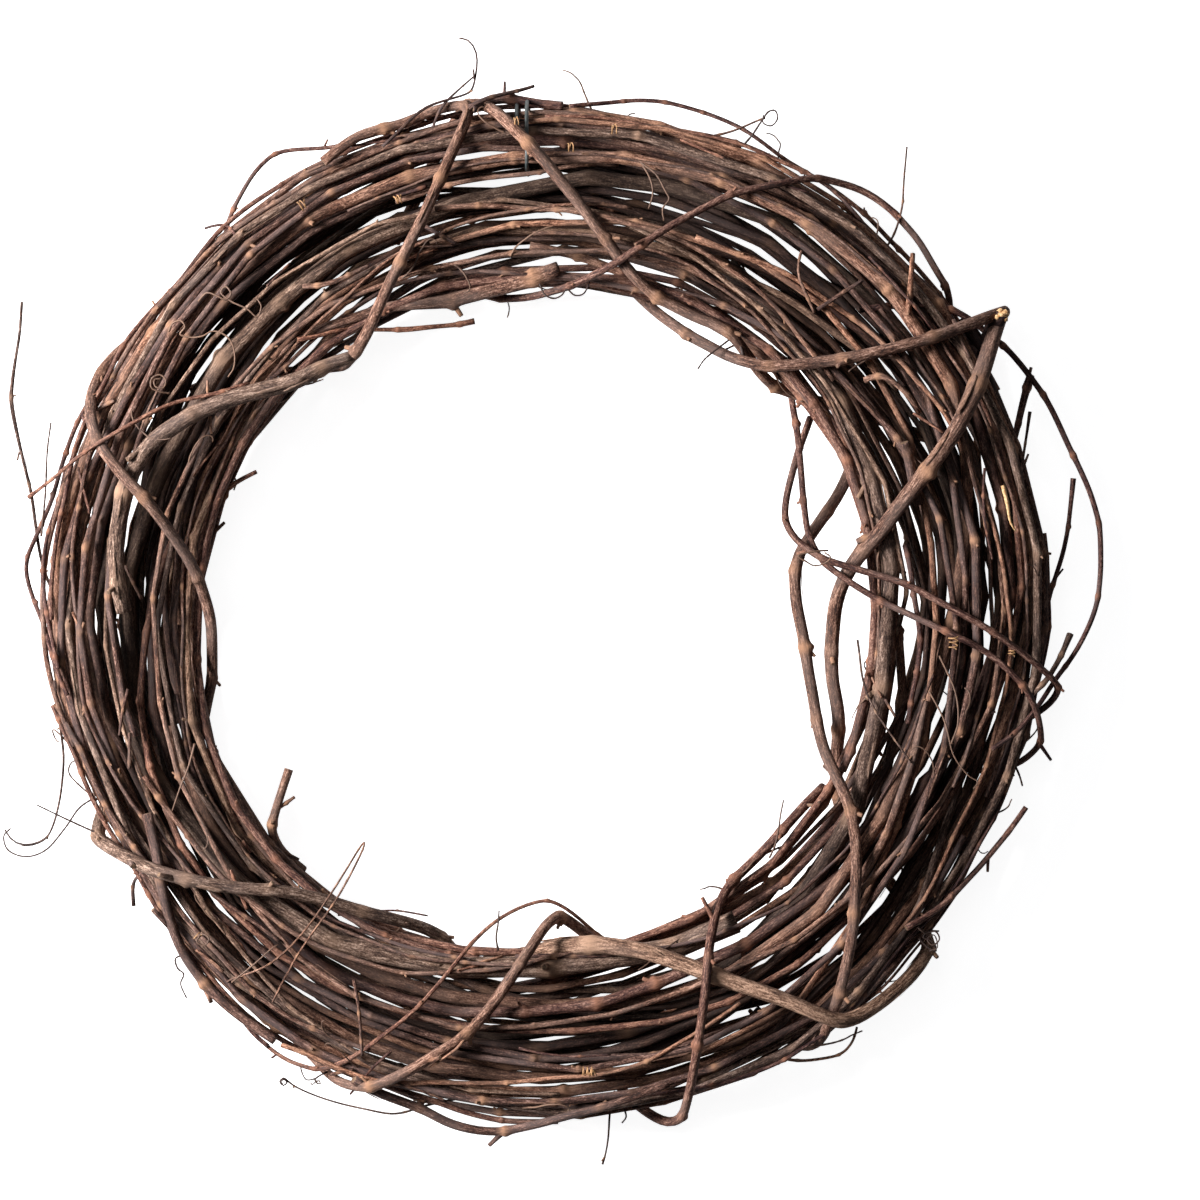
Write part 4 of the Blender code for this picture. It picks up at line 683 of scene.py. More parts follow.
# Barks: four shades from the grooves to the ridges and where they lie on the ramp, the shade of
# the joints, share of weathered patches, fineness of the fibres, gloss and depth of the grooves
SHADE_PLACES = (0.14, 0.40, 0.64, 0.90)
BARK_COLOURS = {
    "bark_brown": (((0.018, 0.008, 0.006), (0.080, 0.037, 0.025), (0.196, 0.108, 0.077),
                    (0.45, 0.287, 0.222)), (0.34, 0.185, 0.110), 0.50, 1.5, 0.70, 0.00045),
    "bark_red": (((0.016, 0.006, 0.006), (0.066, 0.027, 0.021), (0.150, 0.077, 0.057),
                  (0.36, 0.216, 0.166)), (0.28, 0.13, 0.080), 0.42, 1.8, 0.60, 0.0003),
    "bark_grey": (((0.022, 0.012, 0.009), (0.094, 0.055, 0.039), (0.210, 0.138, 0.103),
                   (0.475, 0.34, 0.265)), (0.34, 0.21, 0.14), 0.42, 1.2, 0.72, 0.0006),
}
WEATHERED = (0.135, 0.100, 0.088, 1.0)
WEATHERED_SHARE = 0.5
LEVEL_DROP = 1.72
JOINT_FIBRES = 1.6
# Painted shade: how dark the canes deep in the band are painted, as a share of the darkest shade
PAINTED_SHADE_DARKNESS = 0.4
GLOSS_SPAN = 0.25
WARMTH = ((0.0, (0.84, 0.85, 0.94)), (0.5, (1.0, 1.0, 1.0)), (1.0, (1.17, 0.98, 0.82)))

# Tendrils: dark and light skin, and gloss; then bare wood: dark, light and how dirty
TENDRIL_COLOURS = {
    "tendril_skin": ((0.035, 0.018, 0.014), (0.22, 0.125, 0.080), 0.5),
    "coil_skin": ((0.16, 0.075, 0.03), (0.55, 0.31, 0.14), 0.4),
}
WOOD_COLOURS = {
    "cut_wood": ((0.09, 0.05, 0.03), (0.34, 0.21, 0.12), 1.1),
    "torn_wood": ((0.50, 0.24, 0.08), (0.95, 0.66, 0.36), 0.25),
}

# Dirt on the bare wood; the wire's paint, dark and light, and its scuffs
GRIME_COLOUR = (0.07, 0.040, 0.026, 1.0)
WIRE_PAINT = ((0.020, 0.026, 0.026, 1.0), (0.055, 0.066, 0.066, 1.0))
WIRE_SCUFF = (0.12, 0.125, 0.125, 1.0)

# The studio in metres: floor, lights (name, place, size, power, colour) and the room's glow
FLOOR_SIZE = 4.0
FLOOR_HEIGHT = -0.0004
FLOOR_GLOW = 0.92
PAPER_COLOURS = ((0.74, 0.74, 0.74, 1.0), (0.78, 0.78, 0.78, 1.0))
LIGHTS = (
    ("key", (-1.22, 0.30, 0.92), 0.55, 69.0, (1.0, 0.975, 0.97)),
    ("fill", (-0.3, 0.5, 2.0), 1.0, 4.5, (0.95, 0.96, 1.0)),
)
ROOM_COLOUR = (0.93, 0.95, 1.0, 1.0)
ROOM_LIGHT = 0.02

# The camera stands straight over the photographed aim; its frame is as wide at the ring's face
CAMERA_AIM = (0.0181, -0.0013)
CAMERA_HEIGHT = 2.0
FACE_HEIGHT = 0.03
FRAME_WIDTH = 0.543
SENSOR_WIDTH = 36.0


def band_at(bearing):
    """Middle radius and half width of the dense ring at a bearing."""
    turn = (np.asarray(bearing, dtype=float) / 30.0) % 12.0
    index = np.floor(turn).astype(int) % 12
    share = (1.0 - np.cos(np.pi * (turn - np.floor(turn)))) / 2.0
    edges = np.array(BAND_EDGES, dtype=float)
    inner = edges[index, 0] * (1.0 - share) + edges[(index + 1) % 12, 0] * share
    outer = edges[index, 1] * (1.0 - share) + edges[(index + 1) % 12, 1] * share
    return (inner + outer) / 2.0, (outer - inner) / 2.0


def ring_point(bearing, across, up):
    """Point of the ring's frame at a bearing, a distance across the band and a height."""
    middle, half_width = band_at(bearing)
    angle = np.radians(bearing)
    radius = middle + across
    return np.stack([radius * np.sin(angle), radius * np.cos(angle), up + 0.0 * angle], axis=-1)


def follow(way, bearings):
    """Shares across and up at the bearings of a way given by a few listed points."""
    stops = [point[0] for point in way]
    across = np.interp(bearings, stops, [point[1] for point in way])
    up = np.interp(bearings, stops, [point[2] for point in way])
    return np.stack([across, up], axis=-1)


def thick_cane_plan(name, base, tip, way):
    """Stations, radii and wanted places of a thick cane."""
    first = round((way[0][0] - FIRST_STATION) / STATION_STEP)
    last = round((way[-1][0] - FIRST_STATION) / STATION_STEP)
    stations = np.arange(first, last + 1)
    wanted = follow(way, FIRST_STATION + stations * STATION_STEP)
    radii = np.linspace(base, tip, len(stations)) / 2.0
    return {"name": name, "bark": "bark_grey", "stations": stations, "radii": radii,
            "wanted": wanted, "firmness": THICK_CANE_FIRMNESS}


def ordinary_cane_plan(number, first, draw):
    """Stations, radii and wanted places of a cane that winds its own way round the ring."""
    stations = np.arange(first, first + draw.randint(*CANE_INTERNODES) + 1)
    angle = np.radians(FIRST_STATION + stations * STATION_STEP)
    run = np.linspace(0.0, 1.0, len(stations))
    thinnest, thickest = CANE_DIAMETERS
    base = thinnest + (thickest - thinnest) * draw.random() ** THIN_BIAS
    taper = np.linspace(1.0, CANE_TAPER, len(stations))
    if draw.random() < 0.5:
        taper = taper[::-1]
    spread = math.sqrt((number + 0.5) / CANE_COUNT)
    turned = number * GOLDEN_ANGLE + draw.uniform(-TWIST, TWIST) * (angle - angle[0])
    drift = draw.uniform(*DRIFTS)
    reach = spread * (1.0 + (drift - 1.0) * run)
    across = reach * np.cos(turned)
    up = reach * np.sin(turned)
    for wave in WAVES:
        swing = draw.uniform(*WAVE_SWINGS) / wave ** WAVE_FADES[0]
        rise = draw.uniform(*WAVE_SWINGS) / wave ** WAVE_FADES[1]
        across = across + swing * np.cos(wave * angle + draw.uniform(0.0, 2.0 * math.pi))
        up = up + rise * np.cos(wave * angle + draw.uniform(0.0, 2.0 * math.pi))
    if number in OUTER_RIM_CANES:
        across = 1.0 - RIM_SWAY * np.abs(across)
        up = RIM_DEPTH * up
    if number in INNER_RIM_CANES:
        across = RIM_SWAY * np.abs(across) - 1.0
        up = RIM_DEPTH * up
    bark = draw.choice(("bark_brown", "bark_brown", "bark_red", "bark_grey"))
    return {"name": "cane_%02d" % (number + 1), "bark": bark, "stations": stations,
            "radii": base / 2.0 * taper, "wanted": np.stack([across, up], axis=-1), "firmness": 1.0}


def plan_canes():
    """Every cane of the ring, each ordinary one starting where the one before it stops."""
    draw = random.Random(LAYOUT_SEED)
    plans = [thick_cane_plan(*cane) for cane in THICK_CANES]
    first = 0
    for number in range(CANE_COUNT):
        plan = ordinary_cane_plan(number, first % STATIONS, draw)
        plans.append(plan)
        first = plan["stations"][-1] + draw.choice((0, 1, -1))
    return plans


def push_apart(places, radii, firmness, first, second, push):
    """Add to push what moves the stretches between two rows of knots clear of each other."""
    start = places[first][:, None, :] - places[first][None, :, :]
    change = places[second][:, None, :] - places[second][None, :, :] - start
    square = np.maximum((change * change).sum(axis=2), 1e-9)
    nearest = np.clip(-(start * change).sum(axis=2) / square, 0.0, 1.0)
    apart = start + nearest[..., None] * change
    distance = np.maximum(np.sqrt((apart * apart).sum(axis=2)), 1e-6)
    thick_start = radii[first][:, None] + radii[first][None, :]
    thick_end = radii[second][:, None] + radii[second][None, :]
    wanted = (thick_start + nearest * (thick_end - thick_start)) * SLANT_ALLOWANCE + CANE_GAP
    short = np.maximum(wanted - distance, 0.0)
    np.fill_diagonal(short, 0.0)
    share = firmness[first][None, :] / (firmness[first][:, None] + firmness[first][None, :])
    move = apart / distance[..., None] * (short * share)[..., None]
    weight = (1.0 - nearest) ** 2 + nearest ** 2
    np.add.at(push, first, (move * ((1.0 - nearest) / weight)[..., None]).sum(axis=1))
    np.add.at(push, second, (move * (nearest / weight)[..., None]).sum(axis=1))


def settle(plans):
    """Places across and up, in millimetres, at which no two windings of the canes touch."""
    stations = np.concatenate([plan["stations"] for plan in plans]) % STATIONS
    radii = np.concatenate([plan["radii"] for plan in plans])
    firmness = np.concatenate([plan["firmness"] * plan["radii"] ** 2 for plan in plans])
    wanted = np.concatenate([plan["wanted"] for plan in plans])
    length = np.sqrt((wanted * wanted).sum(axis=1))
    wanted = wanted / np.maximum(length, 1.0)[:, None]
    ends = np.cumsum([len(plan["stations"]) for plan in plans]) - 1
    runs_on = np.ones(len(stations), dtype=bool)
    runs_on[ends] = False
    inside = runs_on.copy()
    inside[0] = False
    inside[ends[:-1] + 1] = False
    half_width = band_at(FIRST_STATION + stations * STATION_STEP)[1]
    limits = np.stack([half_width - radii, BAND_HALF_DEPTH - radii], axis=-1)
    wanted = wanted * limits

    wall = np.arange(-BAND_HALF_DEPTH, BAND_HALF_DEPTH + 0.1, WIRE_RADIUS)
    wall_places = np.stack([np.full(len(wall), WIRE_WALL_ACROSS), wall], axis=-1)
    places = np.concatenate([wanted, wall_places])
    radii = np.concatenate([radii, np.full(len(wall), WIRE_RADIUS + WIRE_ROOM)])
    firmness = np.concatenate([firmness, np.full(len(wall), WALL_FIRMNESS)])
    count = len(stations)
    rows = [np.flatnonzero(stations == number) for number in range(STATIONS)]
    starts = [row[runs_on[row]] for row in rows]
    rows[0] = np.concatenate([rows[0], np.arange(count, len(places))])

    for step in range(SETTLING_STEPS):
        push = np.zeros_like(places)
        for row, start in zip(rows, starts):
            push_apart(places, radii, firmness, row, row, push)
            push_apart(places, radii, firmness, start, start + 1, push)
        places[:count] += PUSH_SHARE * push[:count]
        ease = EASE_SHARE * max(0.0, 1.0 - step / (EASE_UNTIL * SETTLING_STEPS))
        shift = places[:count] - wanted
        middle = np.flatnonzero(inside)
        mean = (shift[middle - 1] + shift[middle + 1]) / 2.0
        places[middle] += ease * (mean - shift[middle])
        beyond = (np.abs(places[:count] / limits) ** ROUNDNESS).sum(axis=1) ** (1.0 / ROUNDNESS)
        places[:count] /= np.maximum(beyond, 1.0)[:, None]
        places = np.round(places, 7)
    return np.split(places[:count], ends[:-1] + 1)


def lay_canes(plans):
    """Centre lines and radii of all the canes in the ring's frame."""
    tubes = []
    for plan, places in zip(plans, settle(plans)):
        bearings = FIRST_STATION + plan["stations"] * STATION_STEP
        points = ring_point(bearings, places[:, 0], places[:, 1])
        tubes.append({"name": plan["name"], "bark": plan["bark"], "points": points,
                      "radii": plan["radii"] * FULLNESS})
    return tubes


def smooth_line(stops, step):
    """Points a step apart on the smooth curve through the stops, with each one's place on it."""
    stops = np.asarray(stops, dtype=float)
    padded = np.concatenate([[2 * stops[0] - stops[1]], stops, [2 * stops[-1] - stops[-2]]])
    line = []
    places = []
    for index in range(1, len(padded) - 2):
        before, start, end, after = padded[index - 1:index + 3]
        count = max(1, round(float(np.linalg.norm(end - start)) / step))
        for part in range(count):
            t = part / count
            line.append(0.5 * (2 * start + (end - before) * t
                               + (2 * before - 5 * start + 4 * end - after) * t ** 2
                               + (3 * start - before - 3 * end + after) * t ** 3))
            places.append(index - 1 + t)
    line.append(stops[-1])
    places.append(len(stops) - 1.0)
    return np.array(line), np.array(places)


def point_gaps(points, starts, ends, thickness):
    """Clear distance from each point to the nearest side of each stretch of tube."""
    along = ends - starts
    square = np.maximum((along * along).sum(axis=1), 1e-9)
    share = np.clip(((points[:, None, :] - starts) * along).sum(axis=2) / square, 0.0, 1.0)
    nearest = starts + share[..., None] * along
    return np.sqrt(((points[:, None, :] - nearest) ** 2).sum(axis=2)) - thickness


def stretch_gaps(start, end, starts, ends):
    """Distance between the middle lines of one stretch and of each of many."""
    one = end - start
    many = ends - starts
    between = start - starts
    a = max(float(one @ one), 1e-9)
    e = np.maximum((many * many).sum(axis=1), 1e-9)
    f = (many * between).sum(axis=1)
    c = between @ one
    b = many @ one
    det = np.maximum(a * e - b * b, 1e-9)
    s = np.clip((b * f - c * e) / det, 0.0, 1.0)
    t = np.clip((b * s + f) / e, 0.0, 1.0)
    s = np.clip((b * t - c) / a, 0.0, 1.0)
    apart = between + s[:, None] * one - t[:, None] * many
    return np.sqrt((apart * apart).sum(axis=1)), s


def closest_room(points, radii, starts, ends, thick):
    """Clear distance between a tube and the nearest of many stretches."""
    room = []
    for index in range(len(points) - 1):
        gaps, _ = stretch_gaps(points[index], points[index + 1], starts, ends)
        room.append((gaps - thick).min() - max(radii[index], radii[index + 1]))
    return min(room)


def tube_stretches(tubes):
    """Starts, ends and radii of every straight stretch of the tubes."""
    starts = np.concatenate([tube["points"][:-1] for tube in tubes])
    ends = np.concatenate([tube["points"][1:] for tube in tubes])
    thick = np.concatenate([np.maximum(tube["radii"][:-1], tube["radii"][1:]) for tube in tubes])
    return starts, ends, thick


def outward(bearings, angles):
    """Outward directions of the band's edge at bearings and angles round the band."""
    half_width = band_at(bearings)[1]
    across = np.cos(np.radians(angles)) / half_width
    up = np.sin(np.radians(angles)) / BAND_HALF_DEPTH
    length = np.sqrt(across ** 2 + up ** 2)
    turn = np.radians(bearings)
    return np.stack([across / length * np.sin(turn), across / length * np.cos(turn),
                     up / length], axis=-1)


def band_edge(bearings, angles, lifts):
    """Points over the band's edge at bearings, angles round the band and heights."""
    half_width = band_at(bearings)[1]
    across = (half_width + lifts) * np.cos(np.radians(angles))
    up = (BAND_HALF_DEPTH + lifts) * np.sin(np.radians(angles))
    return ring_point(bearings, across, up)


def thin_out(points, tolerance):
    """Indices of the points that keep a line within a tolerance of its shape."""
    kept = {0, len(points) - 1}
    spans = [(0, len(points) - 1)]
    while spans:
        low, high = spans.pop()
        if high - low < 2:
            continue
        inner = points[low + 1:high]
        gaps = point_gaps(inner, points[low:low + 1], points[high:high + 1], 0.0)[:, 0]
        worst = int(np.argmax(gaps))
        if gaps[worst] > tolerance or np.linalg.norm(points[high] - points[low]) > LONGEST_STRETCH:
            middle = low + 1 + worst
            kept.add(middle)
            spans += [(low, middle), (middle, high)]
    return sorted(kept)


def draw_tight(needed):
    """Heights of a string drawn over the heights that it needs, eased so that it bends gently."""
    height = needed.copy()
    for _ in range(TIGHTENING):
        mean = height.copy()
        mean[1:-1] = (height[:-2] + height[2:]) / 2.0
        height = np.maximum(needed, mean)
    padded = np.pad(height, EASING, mode="edge")
    count = len(height)
    spread = np.max([padded[shift:shift + count] for shift in range(2 * EASING + 1)], axis=0)
    weights = np.hanning(2 * EASING + 3)[1:-1]
    padded = np.pad(spread, EASING, mode="edge")
    eased = sum(weight * padded[shift:shift + count] for shift, weight in enumerate(weights))
    return eased / weights.sum()


def eased(line, times):
    """A line whose inner points have moved towards their neighbours a number of times."""
    for _ in range(times):
        line[1:-1] = (line[:-2] + 2.0 * line[1:-1] + line[2:]) / 4.0
    return line


def route_over(way):
    """Points of a way over the band's edge, with the outward directions and free heights there."""
    stops = np.array(way, dtype=float)
    line, places = smooth_line(band_edge(stops[:, 0], stops[:, 1], stops[:, 2]), VINE_STEP)
    knots = np.arange(len(stops))
    bearings, angles, lifts = [np.interp(places, knots, column) for column in stops.T]
    return line, outward(bearings, angles), lifts


def heights_over(line, normals, rooms, stretches, rise, reach):
    """Height at each point of a line from which it keeps its room to the tubes in its reach."""
    starts, ends, thick = stretches
    steps = np.arange(0.0, rise, HEIGHT_STEP)
    needed = np.zeros(len(line))
    for index, point in enumerate(line):
        near = point_gaps(point[None], starts, ends, thick)[0] < reach
        if not near.any():
            continue
        tries = point + steps[:, None] * normals[index]
        gaps = point_gaps(tries, starts[near], ends[near], thick[near]).min(axis=1)
        blocked = np.flatnonzero(gaps < rooms[index])
        if len(blocked):
            needed[index] = steps[blocked[-1]] + HEIGHT_STEP
    return needed


def lift_clear(points, radii, normals, stretches):
    """Lift the points of a vine until its straight stretches keep their gap to the tubes."""
    starts, ends, thick = stretches
    for _ in range(LIFTING_ROUNDS):
        moved = False
        for index in range(len(points) - 1):
            gaps, share = stretch_gaps(points[index], points[index + 1], starts, ends)
            room = gaps - thick - max(radii[index], radii[index + 1]) - LEAST_GAP
            worst = int(np.argmin(room))
            if room[worst] < 0.0:
                lift = min(-room[worst] + LIFT_MARGIN, MOST_LIFT)
                first = lift * (1.0 - NEAR_END_SHARE * share[worst])
                second = lift * (1.0 - NEAR_END_SHARE * (1.0 - share[worst]))
                points[index] += normals[index] * first
                points[index + 1] += normals[index + 1] * second
                moved = True
        if not moved:
            break


def lay_vine(vine, tubes):
    """Lay one vine over what is already there, as a string drawn tight over it would lie."""
    name, bark, base, tip, way = vine
    line, normals, lifts = route_over(way)
    sunk = np.clip(1.0 - lifts / FREE_HEIGHT, 0.0, 1.0) * VINE_SINK
    line = line - normals * sunk[:, None]
    radii = np.linspace(base, tip, len(line)) / 2.0
    stretches = tube_stretches(tubes)
    needed = heights_over(line, normals, radii + VINE_GAP, stretches, VINE_REACH,
                          VINE_REACH + THICKEST)
    line = eased(line + normals * draw_tight(needed)[:, None], BENDING)
    line = np.round(line, 5)
    kept = thin_out(line, THINNING)
    points = line[kept]
    radii = radii[kept]
    normals = normals[kept]
    lift_clear(points, radii, normals, stretches)
    slack = closest_room(points, radii, *stretches) - LEAST_GAP
    if slack > 0.0:
        points = points - slack * normals
    return {"name": name, "bark": bark, "points": np.round(points, 5), "radii": radii}


def lay_wire(tubes):
    """The wire tie: one turn and a bit round the outer canes, down between them at its wall."""
    front = math.degrees(math.acos(WIRE_WALL_ACROSS / float(band_at(FIRST_STATION)[1])))
    there = ((-3.1, front - 20, 0), (-3.0, front - 36, 0), (-2.9, 8, 0), (-2.7, -30, 0),
             (-2.4, -front + 14, 0), (-2.0, -front, 0))
    back = ((-2.0, front, 0), (-1.9, front - 14, 0), (-1.8, 20, 0), (-1.7, -12, 0),
            (-1.6, -34, 0))
    turns = [lay_vine(("turn", "wire_green", 2 * WIRE_RADIUS, 2 * WIRE_RADIUS, way), tubes)
             for way in (there, back)]
    points = np.concatenate([turn["points"] for turn in turns])
    return {"name": "wire_tie", "bark": "wire_green", "points": points,
            "radii": np.full(len(points), WIRE_RADIUS)}


def nearest_host(point, tubes):
    """Index of the tube nearest to a point, and the nearest point of its middle line."""
    best = None
    for index, tube in enumerate(tubes):
        starts = tube["points"][:-1]
        ends = tube["points"][1:]
        along = ends - starts
        share = ((point - starts) * along).sum(axis=1) / (along * along).sum(axis=1)
        nearest = starts + np.clip(share, *ROOT_PLACES)[:, None] * along
        gaps = np.sqrt(((point - nearest) ** 2).sum(axis=1)) - tube["radii"][:-1]
        place = int(np.argmin(gaps))
        if tube["bark"] != "wire_green" and (best is None or gaps[place] < best[0]):
            best = (gaps[place], index, nearest[place])
    return best[1], best[2]


def grow_sprig(sprig, tubes):
    """A sprig from its host's middle line out along its way, lifted clear of everything else."""
    name, base, tip, way = sprig
    stops = np.array(way, dtype=float)
    route = band_edge(stops[:, 0], stops[:, 1], stops[:, 2])
    host, root = nearest_host(route[0], tubes)
    free = {"name": name, "bark": tubes[host]["bark"]}
    others = [tube for index, tube in enumerate(tubes) if index != host]
    laid = lay_vine((name, free["bark"], base, tip, way), others)
    thickness = tubes[host]["radii"].max()
    off_root = np.sqrt(((laid["points"] - root) ** 2).sum(axis=1)) > ROOT_REACH * thickness
    free["points"] = np.concatenate([[root], laid["points"][off_root]])
    free["radii"] = np.concatenate([[base / 2.0], laid["radii"][off_root]])
    return host, free


def is_clear(sprig, host, tubes, grown):
    """Whether a sprig keeps its gap to every other tube and to what has grown already."""
    root = sprig["points"][0]
    others = [tube for index, tube in enumerate(tubes) if index != host]
    starts, ends, thick = tube_stretches(others + [other for _, other in grown])
    for start, end, radius in zip(sprig["points"][:-1], sprig["points"][1:], sprig["radii"]):
        gaps, _ = stretch_gaps(start, end, starts, ends)
        if (gaps - thick - radius).min() < SPRIG_GAP:
            return False
    starts, ends, thick = tube_stretches([tubes[host]])
    reach = tubes[host]["radii"].max()
    for start, end, radius in zip(sprig["points"][1:-1], sprig["points"][2:], sprig["radii"][1:]):
        gaps, _ = stretch_gaps(start, end, starts, ends)
        beside = np.linalg.norm(start - root) > BESIDE_ROOT * reach
        if beside and (gaps - thick - radius).min() < SPRIG_GAP:
            return False
    return True


def spur(host, knot, tubes, draw):
    """A short stub at a joint of its host, leaning out and along it."""
    tube = tubes[host]
    root = tube["points"][knot]
    along = tube["points"][knot + 1] - root
    along = along / np.linalg.norm(along) * draw.choice((1.0, -1.0))
    turn = math.atan2(root[0], root[1])
    middle, _ = band_at(math.degrees(turn))
    centre = np.array([middle * math.sin(turn), middle * math.cos(turn), 0.0])
    out = root - centre
    out = out - along * (out @ along)
    out = out / np.linalg.norm(out)
    side = np.cross(along, out)
    spin = draw.uniform(-SPUR_SPIN, SPUR_SPIN)
    out = out * math.cos(spin) + side * math.sin(spin)
    lean = math.radians(draw.uniform(*SPUR_LEANS))
    length = draw.uniform(*SPUR_LENGTHS)
    radius = tube["radii"][knot] * draw.uniform(*SPUR_SHARES)
    tip = root + length * (along * math.cos(lean) + out * math.sin(lean))
    return {"name": "spur", "bark": tube["bark"], "points": np.round([root, tip], 5),
            "radii": radius * np.array(SPUR_ENDS)}


def grow_all(tubes):
    """Every sprig and spur that finds room, each with the index of its host."""
    grown = []
    for name, base, tip, way in SPRIGS:
        for nudge in SPRIG_NUDGES:
            moved = [(bearing + nudge, angle, lift) for bearing, angle, lift in way]
            host, tube = grow_sprig((name, base, tip, moved), tubes)
            if is_clear(tube, host, tubes, grown):
                grown.append((host, tube))
                break
    draw = random.Random(SPUR_SEED)
    wanted = len(grown) + SPUR_COUNT
    while len(grown) < wanted:
        host = draw.randrange(len(tubes))
        knot = draw.randrange(1, len(tubes[host]["points"]) - 1)
        tube = spur(host, knot, tubes, draw)
        if tube["bark"] != "wire_green" and is_clear(tube, host, tubes, grown):
            grown.append((host, tube))
    return grown


def lay_wreath():
    """All tubes of the wreath in the ring's frame, and what has grown on them."""
    tubes = lay_canes(plan_canes())
    tubes.append(lay_wire(tubes))
    for vine in VINES:
        tubes.append(lay_vine(vine, tubes))
    return tubes, grow_all(tubes)


# Skins of the finer pieces


def arc_length(points):
    """Distance along a way at each of its points."""
    steps = np.linalg.norm(np.diff(points, axis=0), axis=1)
    return np.concatenate([[0.0], np.cumsum(steps)])


def points_at(points, run, at):
    """Points of a way at distances along it."""
    return np.stack([np.interp(at, run, points[:, axis]) for axis in range(3)], axis=-1)


def rounded_way(tube):
    """A tube's way in small steps: chords between stations become arcs, corners are eased."""
    points = tube["points"]
    run = arc_length(points)
    at = np.linspace(0.0, run[-1], max(LEAST_STEPS, int(run[-1] / WAY_STEP) + 1))
    line = points_at(points, run, at)
    bearing = np.degrees(np.arctan2(line[:, 0], line[:, 1]))
    off_middle = (bearing - FIRST_STATION) % STATION_STEP - STATION_STEP / 2.0
    swell = np.cos(np.radians(off_middle)) / math.cos(math.radians(STATION_STEP / 2.0))
    line[:, :2] *= swell[:, None]
    return eased(line, EASINGS), np.interp(at, run, tube["radii"]) * ROUND_SHARE


def depth_in_band(line):
    """How near each point of a way is to the outside of the band: 0 at its middle, 1 at its edge."""
    bearing = np.degrees(np.arctan2(line[:, 0], line[:, 1]))
    middle, half_width = band_at(bearing)
    across = (np.hypot(line[:, 0], line[:, 1]) - middle) / half_width
    up = line[:, 2] / BAND_HALF_DEPTH
    return (np.abs(across) ** ROUNDNESS + np.abs(up) ** ROUNDNESS) ** (1.0 / ROUNDNESS)


def joint_places(length, rhythm, draw):
    """Distances along a cane at which its joints stand."""
    places = []
    run = rhythm * draw.uniform(*FIRST_JOINTS)
    while run < length - JOINTLESS_END:
        places.append(run)
        run += rhythm * draw.uniform(*JOINT_SPACINGS)
    return np.array(places)


def ring_places(length, joints, run, shown, thickness):
    """Distances along a cane where it has a ring of points: close at the joints that show."""
    finest = FINEST_SHARE * thickness + FINEST_STEP
    places = [0.0]
    while places[-1] < length:
        here = places[-1]
        nearest = np.abs(joints - here).min() if len(joints) else FAR_FROM_JOINTS
        step = HIDDEN_STEP
        if np.interp(here, run, shown) > SHOWN_FROM:
            step = min(max(NEARING * nearest, finest), COARSE_STEP)
        places.append(here + step)
    places[-1] = length
    if len(places) > 2 and places[-1] - places[-2] < LEAST_LAST_STEP:
        places.pop(-2)
    return np.array(places)


def frames_along(line):
    """Directions along a way and two across it, which turn as little as they can."""
    along = np.gradient(line, axis=0)
    along /= np.linalg.norm(along, axis=1)[:, None]
    side = np.empty_like(along)
    current = np.array(FIRST_SIDE)
    for index, direction in enumerate(along):
        current = current - direction * (current @ direction)
        current = current / np.linalg.norm(current)
        side[index] = current
    return along, side, np.cross(along, side)


def turns_of(sides):
    """Angles of the points round a ring."""
    return np.arange(sides) * 2.0 * math.pi / sides


def rings_round(centre, side, over, reach, radius, run):
    """Rings of points round a middle line, and where they lie on the straightened cane."""
    sides = reach.shape[1]
    cosines = np.cos(turns_of(sides))
    sines = np.sin(turns_of(sides))
    ring = cosines[None, :, None] * side[:, None, :] + sines[None, :, None] * over[:, None, :]
    straight = np.stack([radius[:, None] * cosines[None, :], radius[:, None] * sines[None, :],
                         np.repeat(run[:, None], sides, axis=1)], axis=-1)
    return centre[:, None, :] + reach[..., None] * ring, straight


def ridge_heights(run, sides, draw):
    """Height of the bark's lengthwise ridges at each ring and side, about -1 to 1."""
    knots = int(run[-1] / RIDGE_RUN) + 3
    table = draw.normal(0.0, RIDGE_SPREAD, (knots, sides))
    place = run / RIDGE_RUN
    low = place.astype(int)
    share = (place - low)[:, None]
    return table[low] * (1.0 - share) + table[low + 1] * share


def joint_heights(at, radius, joints, facing, form, turns, draw):
    """Height of the swollen joints and their buds over the bark, and how near the joints are."""
    if len(joints) == 0:
        return np.zeros((len(at), len(turns))), np.zeros(len(at))
    reach = JOINT_REACH[0] + JOINT_REACH[1] * radius[:, None]
    away = (at[:, None] - joints[None, :]) / reach
    strength = draw.uniform(0.0, 1.0, len(joints)) ** STRENGTH_BIAS
    thinness = min(1.0, FULLY_SWOLLEN / radius.mean())
    swelling = form["swelling"] * thinness * (LEAST_SWELLING + strength)
    paleness = PALENESS[0] + PALENESS[1] * strength
    nearness = (np.exp(-PALENESS_FADE * away ** 2) * paleness).max(axis=1)
    fade = np.where(away < 0.0, *SWELLING_FADES)
    height = (np.exp(-fade * away ** 2) @ swelling)[:, None]
    bump = form["buds"] * draw.uniform(*BUD_SIZES, len(joints))
    toward = np.cos(turns[None, :] - facing[:, None])
    lengthwise = np.exp(-(BUD_FADE * away - BUD_OFFSET) ** 2) * bump
    buds = lengthwise @ np.exp(BUD_NARROWNESS * (toward - 1.0))
    return height + buds, nearness


